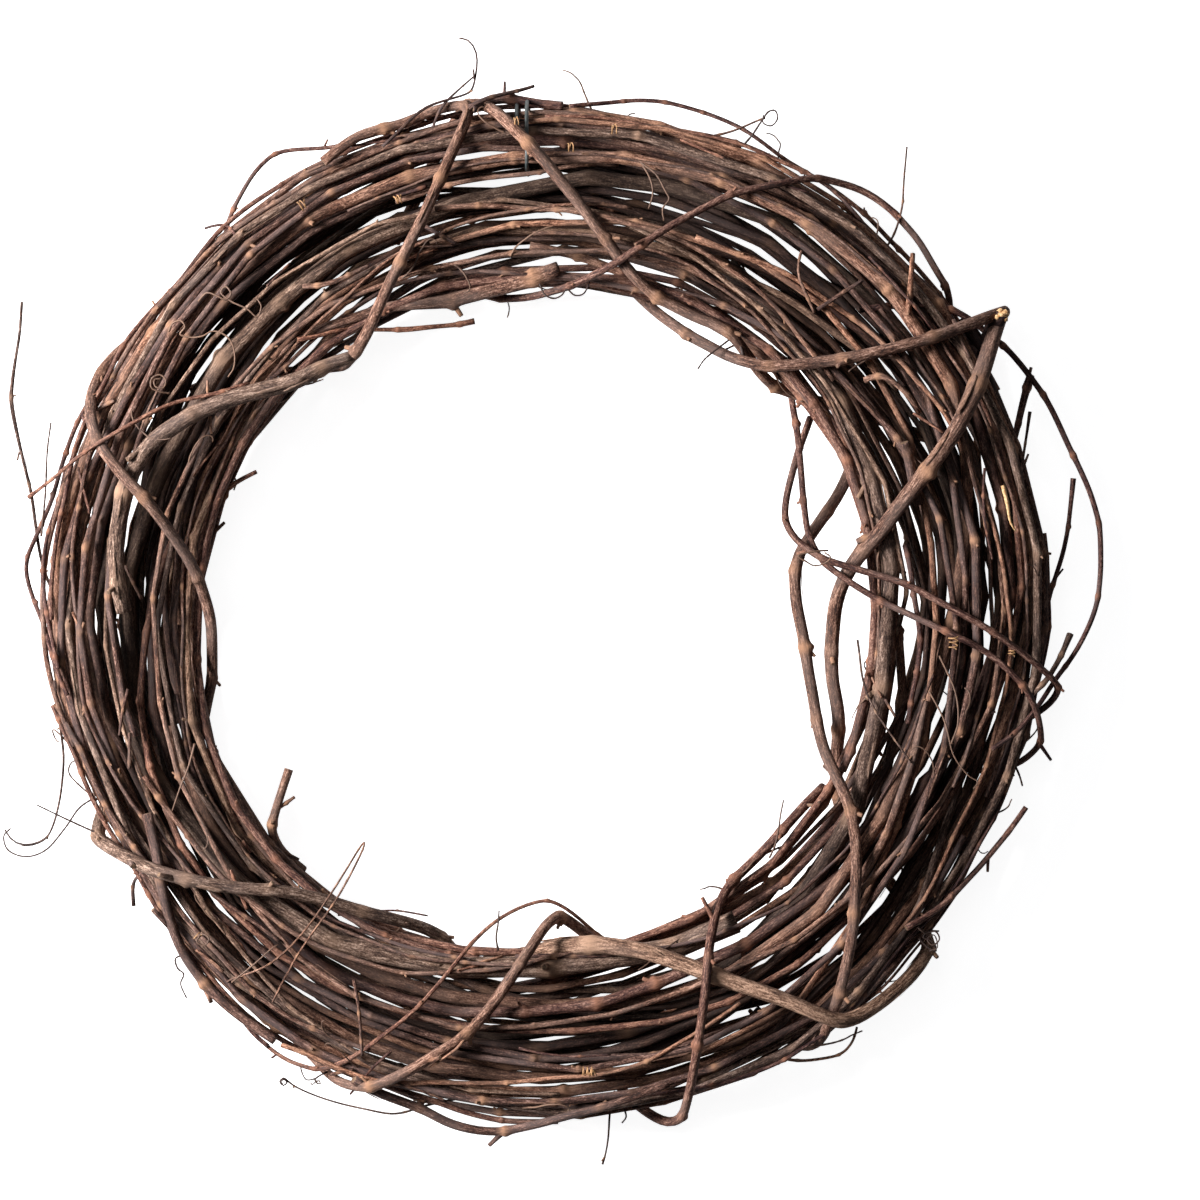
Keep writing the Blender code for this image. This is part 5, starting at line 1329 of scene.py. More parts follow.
def jointed_way(line, run, joints, kinks, facing, straightness):
    """A way that runs nearly straight from joint to joint and turns a little at each of them."""
    if len(joints) == 0:
        return line
    stops = np.concatenate([[0.0], joints, [run[-1]]])
    corners = points_at(line, run, stops)
    _, side, over = frames_along(corners)
    corners[1:-1] += side[1:-1] * (kinks * np.cos(facing))[:, None]
    corners[1:-1] += over[1:-1] * (kinks * np.sin(facing))[:, None]
    chords = points_at(corners, stops, run)
    return eased(line + straightness * (chords - line), JOINT_EASINGS)


def grown_skin(tube, sides, form, draw, shown_everywhere):
    """Everything about a cane that its mesh is rolled from: places, straight places and marks."""
    line, radii = rounded_way(tube)
    run = arc_length(line)
    shown = np.ones(len(run)) if shown_everywhere else depth_in_band(line)
    joints = joint_places(run[-1], form["rhythm"], draw)
    facing = draw.uniform(0.0, 2.0 * math.pi) + math.pi * np.arange(len(joints))
    facing = facing + draw.normal(0.0, FACING_SPREAD, len(joints))
    kinks = KINK * radii.mean() * draw.uniform(*KINK_SHARES, len(joints))
    straightness = VINE_STRAIGHTNESS if shown_everywhere else CANE_STRAIGHTNESS
    line = jointed_way(line, run, joints, kinks, facing, straightness)
    at = ring_places(run[-1], joints, run, shown, float(radii.mean()))
    centre = points_at(line, run, at)
    radius = np.interp(at, run, radii)
    along, side, over = frames_along(centre)
    turns = turns_of(sides)
    height, nearness = joint_heights(at, radius, joints, facing, form, turns, draw)
    ridges = ridge_heights(at, sides, draw)
    oval = OVALNESS * np.cos(2.0 * turns + draw.uniform(*OVAL_TURNS))[None, :]
    height = height + (form["ridges"] * ridges + oval)
    reach = radius[:, None] * (1.0 + height)
    start = draw.uniform(0.0, BARK_RUN)
    places, straight = rings_round(centre, side, over, reach, radius, start + at)
    # Listed tones are partly painted light or shade
    tone = TONES_WITH_PAINTED_LIGHT_AND_SHADE.get(tube["name"], draw.uniform(0.0, 1.0))
    marks = np.stack([np.repeat(nearness[:, None], sides, axis=1),
                      np.full((len(at), sides), tone),
                      MIDDLE_RIDGE + RIDGE_CONTRAST * ridges], axis=-1)
    shown = np.interp(at, run, shown)
    # Painted shade: rings deep in the band get less of this share and are painted darker
    unshaded = np.clip((shown - UNSHADED_DEPTHS[0]) / (UNSHADED_DEPTHS[1] - UNSHADED_DEPTHS[0]), 0.0, 1.0)
    return {"places": places, "straight": straight, "marks": marks, "unshaded": unshaded,
            "centre": centre, "radius": radius, "at": at, "along": along, "side": side,
            "over": over, "joints": joints, "facing": facing, "shown": shown, "tone": tone,
            "start": start}


def plain_skin(line, radius, run, sides, mark):
    """Skin of a smooth round tube with the same marks all over."""
    _, side, over = frames_along(line)
    reach = np.repeat(radius[:, None], sides, axis=1)
    places, straight = rings_round(line, side, over, reach, radius, run)
    marks = np.broadcast_to(np.array(mark), straight.shape)
    return {"places": places, "straight": straight, "marks": marks}


def whisker_skin(stops, base, tip, tone, draw):
    """Skin of a thin tendril or splinter along the smooth curve through its stops."""
    line, _ = smooth_line(stops, WHISKER_STEP)
    run = arc_length(line)
    radius = (base + (tip - base) * run / run[-1]) / 2.0 * draw.uniform(*UNEVENNESS, len(run))
    return plain_skin(line, radius, run + BARK_RUN * tone, WHISKER_SIDES,
                      (WHISKER_PALENESS, tone, MIDDLE_RIDGE))


def stub_skin(place, direction, length, radius, tone, start):
    """Skin of a short stub that grows from a joint."""
    at = np.array(STUB_RINGS) * length
    line = place + at[:, None] * direction
    return plain_skin(line, radius * np.array(STUB_RADII), start + at, STUB_SIDES,
                      (STUB_PALENESS, tone, MIDDLE_RIDGE))


# Meshes rolled from the skins


def in_part(points):
    """Ring frame millimetres to metres of the part, nothing under the ground."""
    placed = (points + np.array(RING_CENTRE)) * MM
    placed[..., 2] = np.maximum(placed[..., 2], 0.0)
    return placed


def new_form():
    """An empty mesh with the straightened place, the marks and the share out of painted shade."""
    form = bmesh.new()
    form.verts.layers.float_vector.new("straight")
    form.verts.layers.float_vector.new("marks")
    form.verts.layers.float.new("unshaded")
    return form


def bark_layers(form):
    """The layers of the straightened place, the marks and the share out of the painted shade."""
    layers = form.verts.layers
    return layers.float_vector["straight"], layers.float_vector["marks"], layers.float["unshaded"]


def roll_up(form, skin):
    """Roll a sheet into the closed tube of a skin, its ends cut flat with a rim of bark."""
    straight, marks, unshaded = bark_layers(form)
    rings, sides = skin["places"].shape[:2]
    # How far each ring lies out of the painted shade
    unshaded_rings = skin["unshaded"].tolist() if "unshaded" in skin else [1.0] * rings
    places = in_part(skin["places"]).tolist()
    straights = skin["straight"].tolist()
    all_marks = skin["marks"].tolist()
    sheet = bmesh.ops.create_grid(form, x_segments=rings - 1, y_segments=sides, size=1.0)["verts"]
    for index, vert in enumerate(sheet):
        column, ring = divmod(index, rings)
        column %= sides
        vert.co = places[ring][column]
        vert[straight] = straights[ring][column]
        vert[marks] = all_marks[ring][column]
        vert[unshaded] = unshaded_rings[ring]
    seam = sheet[:rings] + sheet[sides * rings:]
    ends = [sheet[column * rings] for column in range(1, sides)]
    ends += [sheet[column * rings + rings - 1] for column in range(1, sides)]
    bmesh.ops.remove_doubles(form, verts=seam, dist=MERGE_DISTANCE)
    rims = {edge for vert in ends for edge in vert.link_edges if edge.is_boundary}
    caps = bmesh.ops.holes_fill(form, edges=list(rims), sides=0)["faces"]
    for cap in caps:
        if cap.calc_area() > LEAST_RIMMED_END:
            width = RIM_SHARE * math.sqrt(cap.calc_area() / math.pi)
            bmesh.ops.inset_individual(form, faces=[cap], thickness=width, depth=0.0)
        cap.material_index = 1


def add_stubs(form, skin, share, draw):
    """Short cut side shoots at some of the joints that show."""
    last = len(skin["at"]) - 1
    for joint, turn in zip(skin["joints"], skin["facing"]):
        ring = int(np.searchsorted(skin["at"], joint))
        if ring >= last or skin["shown"][ring] < WELL_SHOWN or draw.uniform() > share:
            continue
        out = math.cos(turn) * skin["side"][ring] + math.sin(turn) * skin["over"][ring]
        lean = math.radians(draw.uniform(*STUB_LEANS))
        direction = skin["along"][ring] * math.cos(lean) + out * math.sin(lean)
        radius = skin["radius"][ring]
        place = skin["centre"][ring] + out * radius * STUB_ROOT
        length = radius * draw.uniform(*STUB_LENGTHS) + STUB_LEAST_LENGTH
        thickness = max(STUB_LEAST_RADIUS, radius * draw.uniform(*STUB_SHARES))
        roll_up(form, stub_skin(place, direction, length, thickness, skin["tone"], joint))


def peel_strip(form, skin, first, last, turn, width, lift, curl):
    """A strip of loose bark over the rings first to last of a cane, lifted at its far end."""
    straight, marks, unshaded = bark_layers(form)
    rings = last - first + 1
    sheet = bmesh.ops.create_grid(form, x_segments=rings - 1, y_segments=2, size=1.0)["verts"]
    for index, vert in enumerate(sheet):
        column, step = divmod(index, rings)
        ring = first + step
        share = step / (rings - 1)
        blunt = math.sqrt(max(0.0, 1.0 - (2.0 * share - 1.0) ** 4))
        taper = blunt * (1.0 - STRIP_TIP) + STRIP_TIP
        angle = turn + (column - 1) * width * taper / skin["radius"][ring]
        out = math.cos(angle) * skin["side"][ring] + math.sin(angle) * skin["over"][ring]
        edge_lift = curl * abs(column - 1)
        reach = skin["radius"][ring] * STRIP_REACH + lift * share ** 2 + edge_lift + STRIP_GAP
        place = skin["centre"][ring] + out * reach
        vert.co = in_part(place[None])[0].tolist()
        vert[straight] = (reach * math.cos(angle), reach * math.sin(angle),
                          skin["start"] + skin["at"][ring])
        vert[marks] = (STRIP_PALENESS, skin["tone"], STRIP_RIDGE)
        # Loose strips get no painted shade
        vert[unshaded] = 1.0
    faces = list({face for vert in sheet for face in vert.link_faces})
    bmesh.ops.solidify(form, geom=faces, thickness=STRIP_THICKNESS * MM)


def add_strips(form, skin, share, draw):
    """Strips of bark that peel off where the cane shows."""
    rings = len(skin["at"])
    for _ in range(int(share * skin["at"][-1] / STRIP_SPACING)):
        first = int(draw.randint(0, max(1, rings - STRIP_ROOM)))
        last = first
        length = draw.uniform(*STRIP_LENGTHS)
        while last < rings - 1 and skin["at"][last] < skin["at"][first] + length:
            last += 1
        if last - first < STRIP_LEAST_RINGS or skin["shown"][first] < WELL_SHOWN:
            continue
        turn = draw.uniform(0.0, 2.0 * math.pi)
        width = draw.uniform(*STRIP_WIDTHS) * skin["radius"][first]
        lift = draw.uniform(*STRIP_LIFTS)
        peel_strip(form, skin, first, last, turn, width, lift, draw.uniform(*STRIP_CURLS))


def finish_piece(form, name, finishes):
    """A piece at the origin from a form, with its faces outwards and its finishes."""
    bmesh.ops.recalc_face_normals(form, faces=form.faces)
    for face in form.faces:
        face.smooth = face.material_index == 0
    mesh = bpy.data.meshes.new(name)
    form.to_mesh(mesh)
    form.free()
    for finish in finishes:
        mesh.materials.append(finish)
    piece = bpy.data.objects.new(name, mesh)
    bpy.context.scene.collection.objects.link(piece)
    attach(piece, "root")
    return piece


# The canes, the vines and the wire


def folded(tube):
    """A vine or sprig with the stretch drawn nearer to the photo, where it has one."""
    if tube["name"] not in FOLDS:
        return tube
    first, stretch = FOLDS[tube["name"]]
    stretch = np.array(stretch, dtype=float)
    points = tube["points"].copy()
    radii = tube["radii"].copy()
    points[first:first + len(stretch)] = stretch[:, :3]
    radii[first:first + len(stretch)] = stretch[:, 3]
    return dict(tube, points=points, radii=radii)


def slide_at(place, before, after):
    """How far a place on one line has slid where the line is drawn again point for point."""
    steps = before[1:] - before[:-1]
    share = ((place - before[:-1]) * steps).sum(axis=1) / (steps ** 2).sum(axis=1)
    share = np.clip(share, 0.0, 1.0)[:, None]
    feet = before[:-1] + share * steps
    near = np.linalg.norm(feet - place, axis=1).argmin()
    return (after[:-1] + share * (after[1:] - after[:-1]) - feet)[near]


def middle_near(skin, place):
    """How far it is from a place to the nearest middle of the rings of a skin."""
    middles = skin["places"].mean(axis=1)
    return middles[np.linalg.norm(middles - place, axis=1).argmin()] - place


def rooted(growth, tube, drawn, skin):
    """A growth moved with its host, its root set back into the host's wood."""
    root = growth["points"][0]
    slide = slide_at(root, tube["points"], drawn["points"])
    slide = slide + middle_near(skin, root + slide)
    points = growth["points"] + slide
    if drawn["radii"].max() < THIN_HOST and growth["name"] == "spur":
        points = points[0] + THIN_HOST_SPUR * (points - points[0])
    points[0] -= ROOT_SET_BACK * (points[1] - points[0]) / np.linalg.norm(points[1] - points[0])
    radii = np.maximum(growth["radii"], LEAST_GROWTH_RADIUS)
    return folded(dict(growth, points=points, radii=radii))


def build_pieces(finishes):
    """The finer piece for each cane, vine and the wire, each in place of its node."""
    tubes, grown = lay_wreath()
    names = set(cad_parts)
    for number, tube in enumerate(tubes):
        if tube["name"] not in names:
            raise SystemExit("no node named " + tube["name"])
        draw = np.random.RandomState(PIECE_SEED + number)
        look = BARK_FORMS[tube["bark"]]
        drawn = folded(tube)
        is_cane = "cane" in tube["name"]
        thick = float(drawn["radii"].max())
        sides = THIN_SIDES if is_cane and thick < THIN_BELOW else VINE_SIDES
        if thick > THICK_ABOVE:
            sides = THICK_SIDES
        form = new_form()
        skin = grown_skin(drawn, sides, look, draw, not is_cane)
        roll_up(form, skin)
        if tube["bark"] != "wire_green":
            add_stubs(form, skin, STUBBED_JOINTS, draw)
            strips = look["strips"] * (THICK_STRIPS if thick > THICK_ABOVE else 1.0)
            add_strips(form, skin, strips, draw)
        for host, growth in grown:
            if host == number:
                growth_look = dict(look, rhythm=GROWTH_RHYTHM)
                growth = rooted(growth, tube, drawn, skin)
                roll_up(form, grown_skin(growth, GROWTH_SIDES, growth_look, draw, True))
        piece = finish_piece(form, "fine_" + tube["name"],
                             [finishes[tube["bark"]], finishes["cut_wood"]])
        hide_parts(tube["name"])
    return tubes


# Thin canes, twigs and tendrils


def lay_thin_cane(name, base, tip, way, tubes):
    """A thin cane drawn over the ring, half sunk between the canes under it."""
    line, normals, _ = route_over(way)
    line = line - normals * VINE_SINK
    radii = np.linspace(base, tip, len(line)) / 2.0
    reach = VINE_SINK + THICKEST
    needed = heights_over(line, normals, radii - THIN_CANE_BITE, tube_stretches(tubes), reach, reach)
    line = eased(line + normals * draw_tight(needed)[:, None], BENDING)
    return {"name": name, "points": line, "radii": radii}


def thin_cane_way(draw, angles):
    """A way that slants slowly across the ring between two angles round its band."""
    first = draw.uniform(0.0, 360.0)
    span = draw.uniform(*THIN_CANE_SPANS)
    count = int(span / THIN_CANE_STOPS) + 2
    start = draw.uniform(*angles)
    stop = min(max(start + draw.uniform(-THIN_CANE_SLANT, THIN_CANE_SLANT), angles[0]), angles[1])
    share = np.linspace(0.0, 1.0, count)
    bearings = first + share * span * draw.choice((-1.0, 1.0))
    swing = draw.uniform(*WOBBLES)
    wobble = swing * np.sin(share * draw.uniform(*WOBBLE_RUNS) + draw.uniform(*WOBBLE_STARTS))
    return np.stack([bearings, start + (stop - start) * share + wobble, np.zeros(count)], axis=-1)


def add_thin_canes(canes, finishes):
    """The thin canes wound last over the ring, which lie slantwise over the others."""
    laid = list(canes)
    for number, (name, bark, count, angles) in enumerate(THIN_CANES):
        draw = np.random.RandomState(THIN_CANE_SEED + number)
        form = new_form()
        look = dict(BARK_FORMS[bark], rhythm=THIN_CANE_RHYTHM)
        for _ in range(count):
            base = draw.uniform(*THIN_CANE_DIAMETERS)
            way = thin_cane_way(draw, angles)
            cane = lay_thin_cane(name, base, base * draw.uniform(*THIN_CANE_TAPERS), way, laid)
            laid.append(cane)
            skin = grown_skin(cane, THIN_CANE_SIDES, look, draw, True)
            roll_up(form, skin)
            add_stubs(form, skin, THIN_STUBBED_JOINTS, draw)
        finish_piece(form, name, [finishes[bark], finishes["cut_wood"]])


def short_twig_way(draw):
    """A short way aslant over the canes at a random place of the front."""
    bearing = draw.uniform(0.0, 360.0)
    angle = draw.uniform(*FRONT_ANGLES)
    turn = draw.uniform(*SHORT_TWIG_TURNS) * draw.choice((-1.0, 1.0))
    cross = draw.uniform(-SHORT_TWIG_CROSS, SHORT_TWIG_CROSS)
    return ((bearing, angle, 0.0), (bearing + turn / 2, angle + cross / 2, 0.0),
            (bearing + turn, angle + cross, draw.uniform(*SHORT_TWIG_LIFTS)))


def add_short_twigs(canes, finishes):
    """Short broken twigs that lie across the canes."""
    draw = np.random.RandomState(SHORT_TWIG_SEED)
    for bark, count in SHORT_TWIGS:
        form = new_form()
        look = dict(BARK_FORMS[bark], rhythm=SHORT_TWIG_RHYTHM)
        for _ in range(count):
            way = short_twig_way(draw)
            base = draw.uniform(*SHORT_TWIG_DIAMETERS)
            twig = lay_thin_cane("short_twig", base, SHORT_TWIG_TAPER * base, way, canes)
            roll_up(form, grown_skin(twig, SHORT_TWIG_SIDES, look, draw, True))
        finish_piece(form, "short_twigs_" + bark, [finishes[bark], finishes["cut_wood"]])


def on_face(x, y, lift):
    """A place on the ring's front face, or beside the ring at its middle height."""
    middle, half_width = band_at(math.degrees(math.atan2(x, y)))
    across = min(1.0, abs(math.hypot(x, y) - middle) / half_width)
    height = BAND_HALF_DEPTH * (1.0 - across ** ROUNDNESS) ** (1.0 / ROUNDNESS)
    return np.array((x, y, height + lift))


def add_shown_twigs(finishes):
    """The broken twigs and stubs whose places the photo shows."""
    draw = np.random.RandomState(SHOWN_TWIG_SEED)
    for bark, twigs in SHOWN_TWIGS.items():
        form = new_form()
        look = dict(BARK_FORMS[bark], rhythm=SHOWN_TWIG_RHYTHM)
        for base, tip, stops in twigs:
            points = np.array([on_face(*stop) for stop in stops])
            line, places = smooth_line(points, WAY_STEP)
            radii = np.interp(places, (0.0, len(points) - 1.0), (base / 2.0, tip / 2.0))
            twig = {"name": "shown_twig_" + bark, "points": line, "radii": radii}
            roll_up(form, grown_skin(twig, SHOWN_TWIG_SIDES, look, draw, True))
        finish_piece(form, "shown_twigs_" + bark, [finishes[bark], finishes["cut_wood"]])


def add_torn_elbow(finishes):
    """The elbow at the upper right: its crook, painted fully dark as shade, and the torn wood on it.
    """
    draw = np.random.RandomState(ELBOW_SEED)
    form = new_form()
    for stops, thickness in (ELBOW_CROOK, ELBOW_WEB):
        line, places = smooth_line(np.array(stops), WAY_STEP)
        radii = np.interp(places, (0.0, places[-1] / 2.0, places[-1]), thickness)
        crook = {"name": "torn_crook", "points": line, "radii": radii}
        skin = grown_skin(crook, ELBOW_SIDES, BARK_FORMS["bark_grey"], draw, True)
        # The crook and the wood between its legs are painted in full shade
        skin["unshaded"] = np.zeros(len(skin["unshaded"]))
        roll_up(form, skin)
    finish_piece(form, "torn_crook", [finishes["bark_red"], finishes["torn_wood"]])
    form = new_form()
    torn_end = np.array(ELBOW_CROOK[0][-1])
    for _ in range(SPLINTER_COUNT):
        root = torn_end + draw.normal(0.0, 1.0, 3) * SPLINTER_SPREAD
        lean = np.array(SPLINTER_LEAN) + draw.normal(0.0, SPLINTER_WAVER, 3)
        reach = draw.uniform(*SPLINTER_REACHES)
        stops = [root - lean * SPLINTER_ROOT, root, root + lean * reach * 0.5, root + lean * reach]
        base = draw.uniform(*SPLINTER_DIAMETERS)
        roll_up(form, whisker_skin(stops, base, SPLINTER_TIP, MIDDLE_TONE, draw))
    base, tip, stops = PALE_SLIVER
    sliver = [on_face(*stop) for stop in stops]
    roll_up(form, whisker_skin(sliver, base, tip, MIDDLE_TONE, draw))
    finish_piece(form, "torn_splinters",
                 [finishes["torn_wood"], finishes["torn_wood"]])


def surface_root(tubes, draw):
    """A place on the outside of a random cane, with the directions along it, out and across."""
    while True:
        tube = tubes[draw.randint(len(tubes))]
        knot = draw.randint(1, len(tube["points"]) - 1)
        share = draw.uniform()
        place = tube["points"][knot - 1] * (1.0 - share) + tube["points"][knot] * share
        if depth_in_band(place[None])[0] > UNSHADED_DEPTHS[1]:
            break
    bearing = math.degrees(math.atan2(place[0], place[1]))
    middle, half_width = band_at(bearing)
    across = math.hypot(place[0], place[1]) - middle
    angle = math.degrees(math.atan2(place[2] / BAND_HALF_DEPTH, across / half_width))
    out = outward(np.array([bearing]), np.array([angle]))[0]
    along = tube["points"][knot] - tube["points"][knot - 1]
    along = along / np.linalg.norm(along)
    root = place + out * tube["radii"][knot] * TENDRIL_ROOT
    return root, along, out, np.cross(along, out)


def loose_tendril(tubes, draw):
    """Stops of a tendril that wanders over the canes and may roll up at its end."""
    place, along, out, over = surface_root(tubes, draw)
    heading = draw.choice((0.0, math.pi)) + draw.normal(0.0, HEADING_SPREAD)
    count = int(draw.uniform(*TENDRIL_LENGTHS) / TENDRIL_STEP)
    curl = draw.uniform(-TENDRIL_CURL, TENDRIL_CURL)
    way_round = draw.choice((-1.0, 1.0))
    roll = way_round * (draw.uniform(*ROLLS) if draw.uniform() < ROLLED_SHARE else LEAST_ROLL)
    rise = draw.uniform(*TENDRIL_RISES)
    stops = [place]
    for step in range(count):
        share = step / count
        heading += curl + roll * share ** 3 + draw.normal(0.0, TENDRIL_CURL)
        flat = along * math.cos(heading) + over * math.sin(heading)
        place = place + flat * TENDRIL_STEP * (1.0 - TENDRIL_CLOSING * share)
        lifted = min(1.0, TENDRIL_LIFT[0] * share + TENDRIL_LIFT[1])
        stops.append(place + out * rise * math.sin(lifted * math.pi * TENDRIL_ARCH))
    return stops


def coiled_tendril(x, y, up, reach, turns, draw):
    """Stops of a tendril wound round a cane at a place of the photographed face."""
    radius = math.hypot(x, y)
    along = np.array([y, -x, 0.0]) / radius
    side = np.array([x, y, 0.0]) / radius
    over = np.array([0.0, 0.0, 1.0])
    stops = []
    run = -COIL_START * turns * reach
    for step in range(int(turns * COIL_STEPS) + 1):
        angle = step * 2.0 * math.pi / COIL_STEPS
        run += reach * draw.uniform(0.0, COIL_PITCH) * (1.0 + math.cos(angle))
        wide = reach * draw.uniform(*COIL_WIDTHS)
        stops.append(np.array([x, y, up]) + along * run
                     + side * wide * math.cos(angle) + over * wide * math.sin(angle))
    return stops


def add_tendrils(canes, finishes):
    """Tendrils: the ones that the photo shows by their places, and the many small ones."""
    draw = np.random.RandomState(TENDRIL_SEED)
    form = new_form()
    for base, tip, stops in SHOWN_TENDRILS:
        # Tendrils outside the band are darkened as painted shade against the white
        tone = draw.uniform() - (OUTSIDE_PAINTED_SHADE if stops[-1][2] < OUTSIDE_BELOW else 0.0)
        roll_up(form, whisker_skin(np.array(stops, dtype=float), base, tip, tone, draw))
    for _ in range(TENDRIL_COUNT):
        base = draw.uniform(*TENDRIL_DIAMETERS)
        stops = loose_tendril(canes, draw)
        roll_up(form, whisker_skin(stops, base, TENDRIL_TAPER * base, draw.uniform(), draw))
    finish_piece(form, "tendrils", [finishes["tendril_skin"], finishes["cut_wood"]])
    form = new_form()
    for x, y, up, reach, turns in COILS:
        stops = coiled_tendril(x, y, up, reach, turns, draw)
        roll_up(form, whisker_skin(stops, *COIL_DIAMETERS, draw.uniform(), draw))
    finish_piece(form, "coiled_tendrils",
                 [finishes["coil_skin"], finishes["cut_wood"]])


# Finishes


def feed(tree, made, inputs):
    """Give the inputs of a node their values or other nodes' outputs."""
    for key, value in inputs.items():
        if isinstance(value, bpy.types.NodeSocket):
            tree.links.new(value, made.inputs[key])
        else:
            made.inputs[key].default_value = value


def node(tree, kind, inputs=None, **settings):
    """A node with its settings; inputs gives its sockets values or other nodes' outputs."""
    made = tree.nodes.new(kind)
    for key, value in settings.items():
        setattr(made, key, value)
    feed(tree, made, inputs or {})
    return made


def maths(tree, operation, first, second, clamp=False):
    """A Math node's output."""
    return node(tree, "ShaderNodeMath", {0: first, 1: second}, operation=operation,
                use_clamp=clamp).outputs[0]


def weighed(tree, parts):
    """Sum of values, each times its weight."""
    total = None
    for value, weight in parts:
        share = maths(tree, "MULTIPLY", value, weight)
        total = share if total is None else maths(tree, "ADD", total, share)
    return total


def mixed(tree, share, first, second, blend="MIX"):
    """Colour mixed from two by a share."""
    return node(tree, "ShaderNodeMix", {0: share, 6: first, 7: second}, data_type="RGBA",
                blend_type=blend).outputs[2]


def map_range(tree, value, inputs, **settings):
    """A value moved from one range to another."""
    return node(tree, "ShaderNodeMapRange", dict(inputs, Value=value), **settings).outputs[0]


def shades_along(tree, level, stops):
    """Colour at a level of a ramp of stops, each a place and a colour."""
    ramp = node(tree, "ShaderNodeValToRGB", {0: level})
    elements = ramp.color_ramp.elements
    for element, (place, shade) in zip(elements, (stops[0], stops[-1])):
        element.position = place
        element.color = (*shade, 1.0)
    for place, shade in stops[1:-1]:
        elements.new(place).color = (*shade, 1.0)
    return ramp.outputs[0]


def attribute(tree, name, kind="Vector"):
    """One of the bark's attributes."""
    return node(tree, "ShaderNodeAttribute", attribute_name=name).outputs[kind]


def noise(tree, place, scale, detail, **inputs):
    """Noise at a place."""
    inputs = dict(inputs, Vector=place, Scale=scale, Detail=detail)
    return node(tree, "ShaderNodeTexNoise", inputs).outputs["Fac"]


def stretched(tree, place, across, along):
    """A place on the straightened cane, scaled across it and along it."""
    scale = node(tree, "ShaderNodeCombineXYZ", {0: across, 1: across, 2: along})
    return node(tree, "ShaderNodeVectorMath", {0: place, 1: scale.outputs[0]},
                operation="MULTIPLY").outputs[0]


def new_group(name, inputs, output):
    """A shader node group with a place on the straightened cane, numbers and one number out."""
    group = bpy.data.node_groups.new(name, "ShaderNodeTree")
    group.interface.new_socket("Straight", in_out="INPUT", socket_type="NodeSocketVector")
    for label, default in inputs.items():
        socket = group.interface.new_socket(label, in_out="INPUT", socket_type="NodeSocketFloat")
        socket.default_value = default
    group.interface.new_socket(output, in_out="OUTPUT", socket_type="NodeSocketFloat")
    return group, node(group, "NodeGroupInput").outputs, node(group, "NodeGroupOutput")


def fibres_group():
    """Bark fibres: noise drawn out along the cane."""
    group, given, result = new_group("bark_fibres", {"Across": 1.0, "Along": 0.1, "Detail": 4.0},
                                     "Fibres")
    drawn = stretched(group, given["Straight"], given["Across"], given["Along"])
    fibres = noise(group, drawn, scale=1.0, detail=given["Detail"], Roughness=0.62,
                   Distortion=0.35)
    feed(group, result, {"Fibres": fibres})
    return group


def blotches_group():
    """Weathered blotches: soft patches with a share of their own."""
    group, given, result = new_group("weathered_blotches",
                                     {"Size": 0.08, "Share": 0.5, "Edge": 0.12}, "Blotches")
    along = maths(group, "MULTIPLY", given["Size"], 0.35)
    drawn = stretched(group, given["Straight"], given["Size"], along)
    patches = noise(group, drawn, scale=1.0, detail=3.0, Roughness=0.6)
    low = maths(group, "SUBTRACT", given["Share"], given["Edge"])
    high = maths(group, "ADD", given["Share"], given["Edge"])
    mask = map_range(group, patches, {"From Min": low, "From Max": high},
                     interpolation_type="SMOOTHSTEP")
    feed(group, result, {"Blotches": mask})
    return group


def fibres_on(tree, groups, across, along, detail):
    """Fibres on the straightened cane, by how fine they are across it and along it."""
    return node(tree, "ShaderNodeGroup", {
        "Straight": attribute(tree, "straight"), "Across": across, "Along": along,
        "Detail": detail}, node_tree=groups["fibres"]).outputs[0]


def blotches_on(tree, groups, size, share, edge):
    """Blotches on the straightened cane, by their fineness, their share and their soft edge."""
    return node(tree, "ShaderNodeGroup", {
        "Straight": attribute(tree, "straight"), "Size": size, "Share": share,
        "Edge": edge}, node_tree=groups["blotches"]).outputs[0]


def empty_material(name):
    """A material with only its Principled shader."""
    material = bpy.data.materials.new(name)
    material.use_nodes = True
    tree = material.node_tree
    return material, tree, tree.nodes["Principled BSDF"]


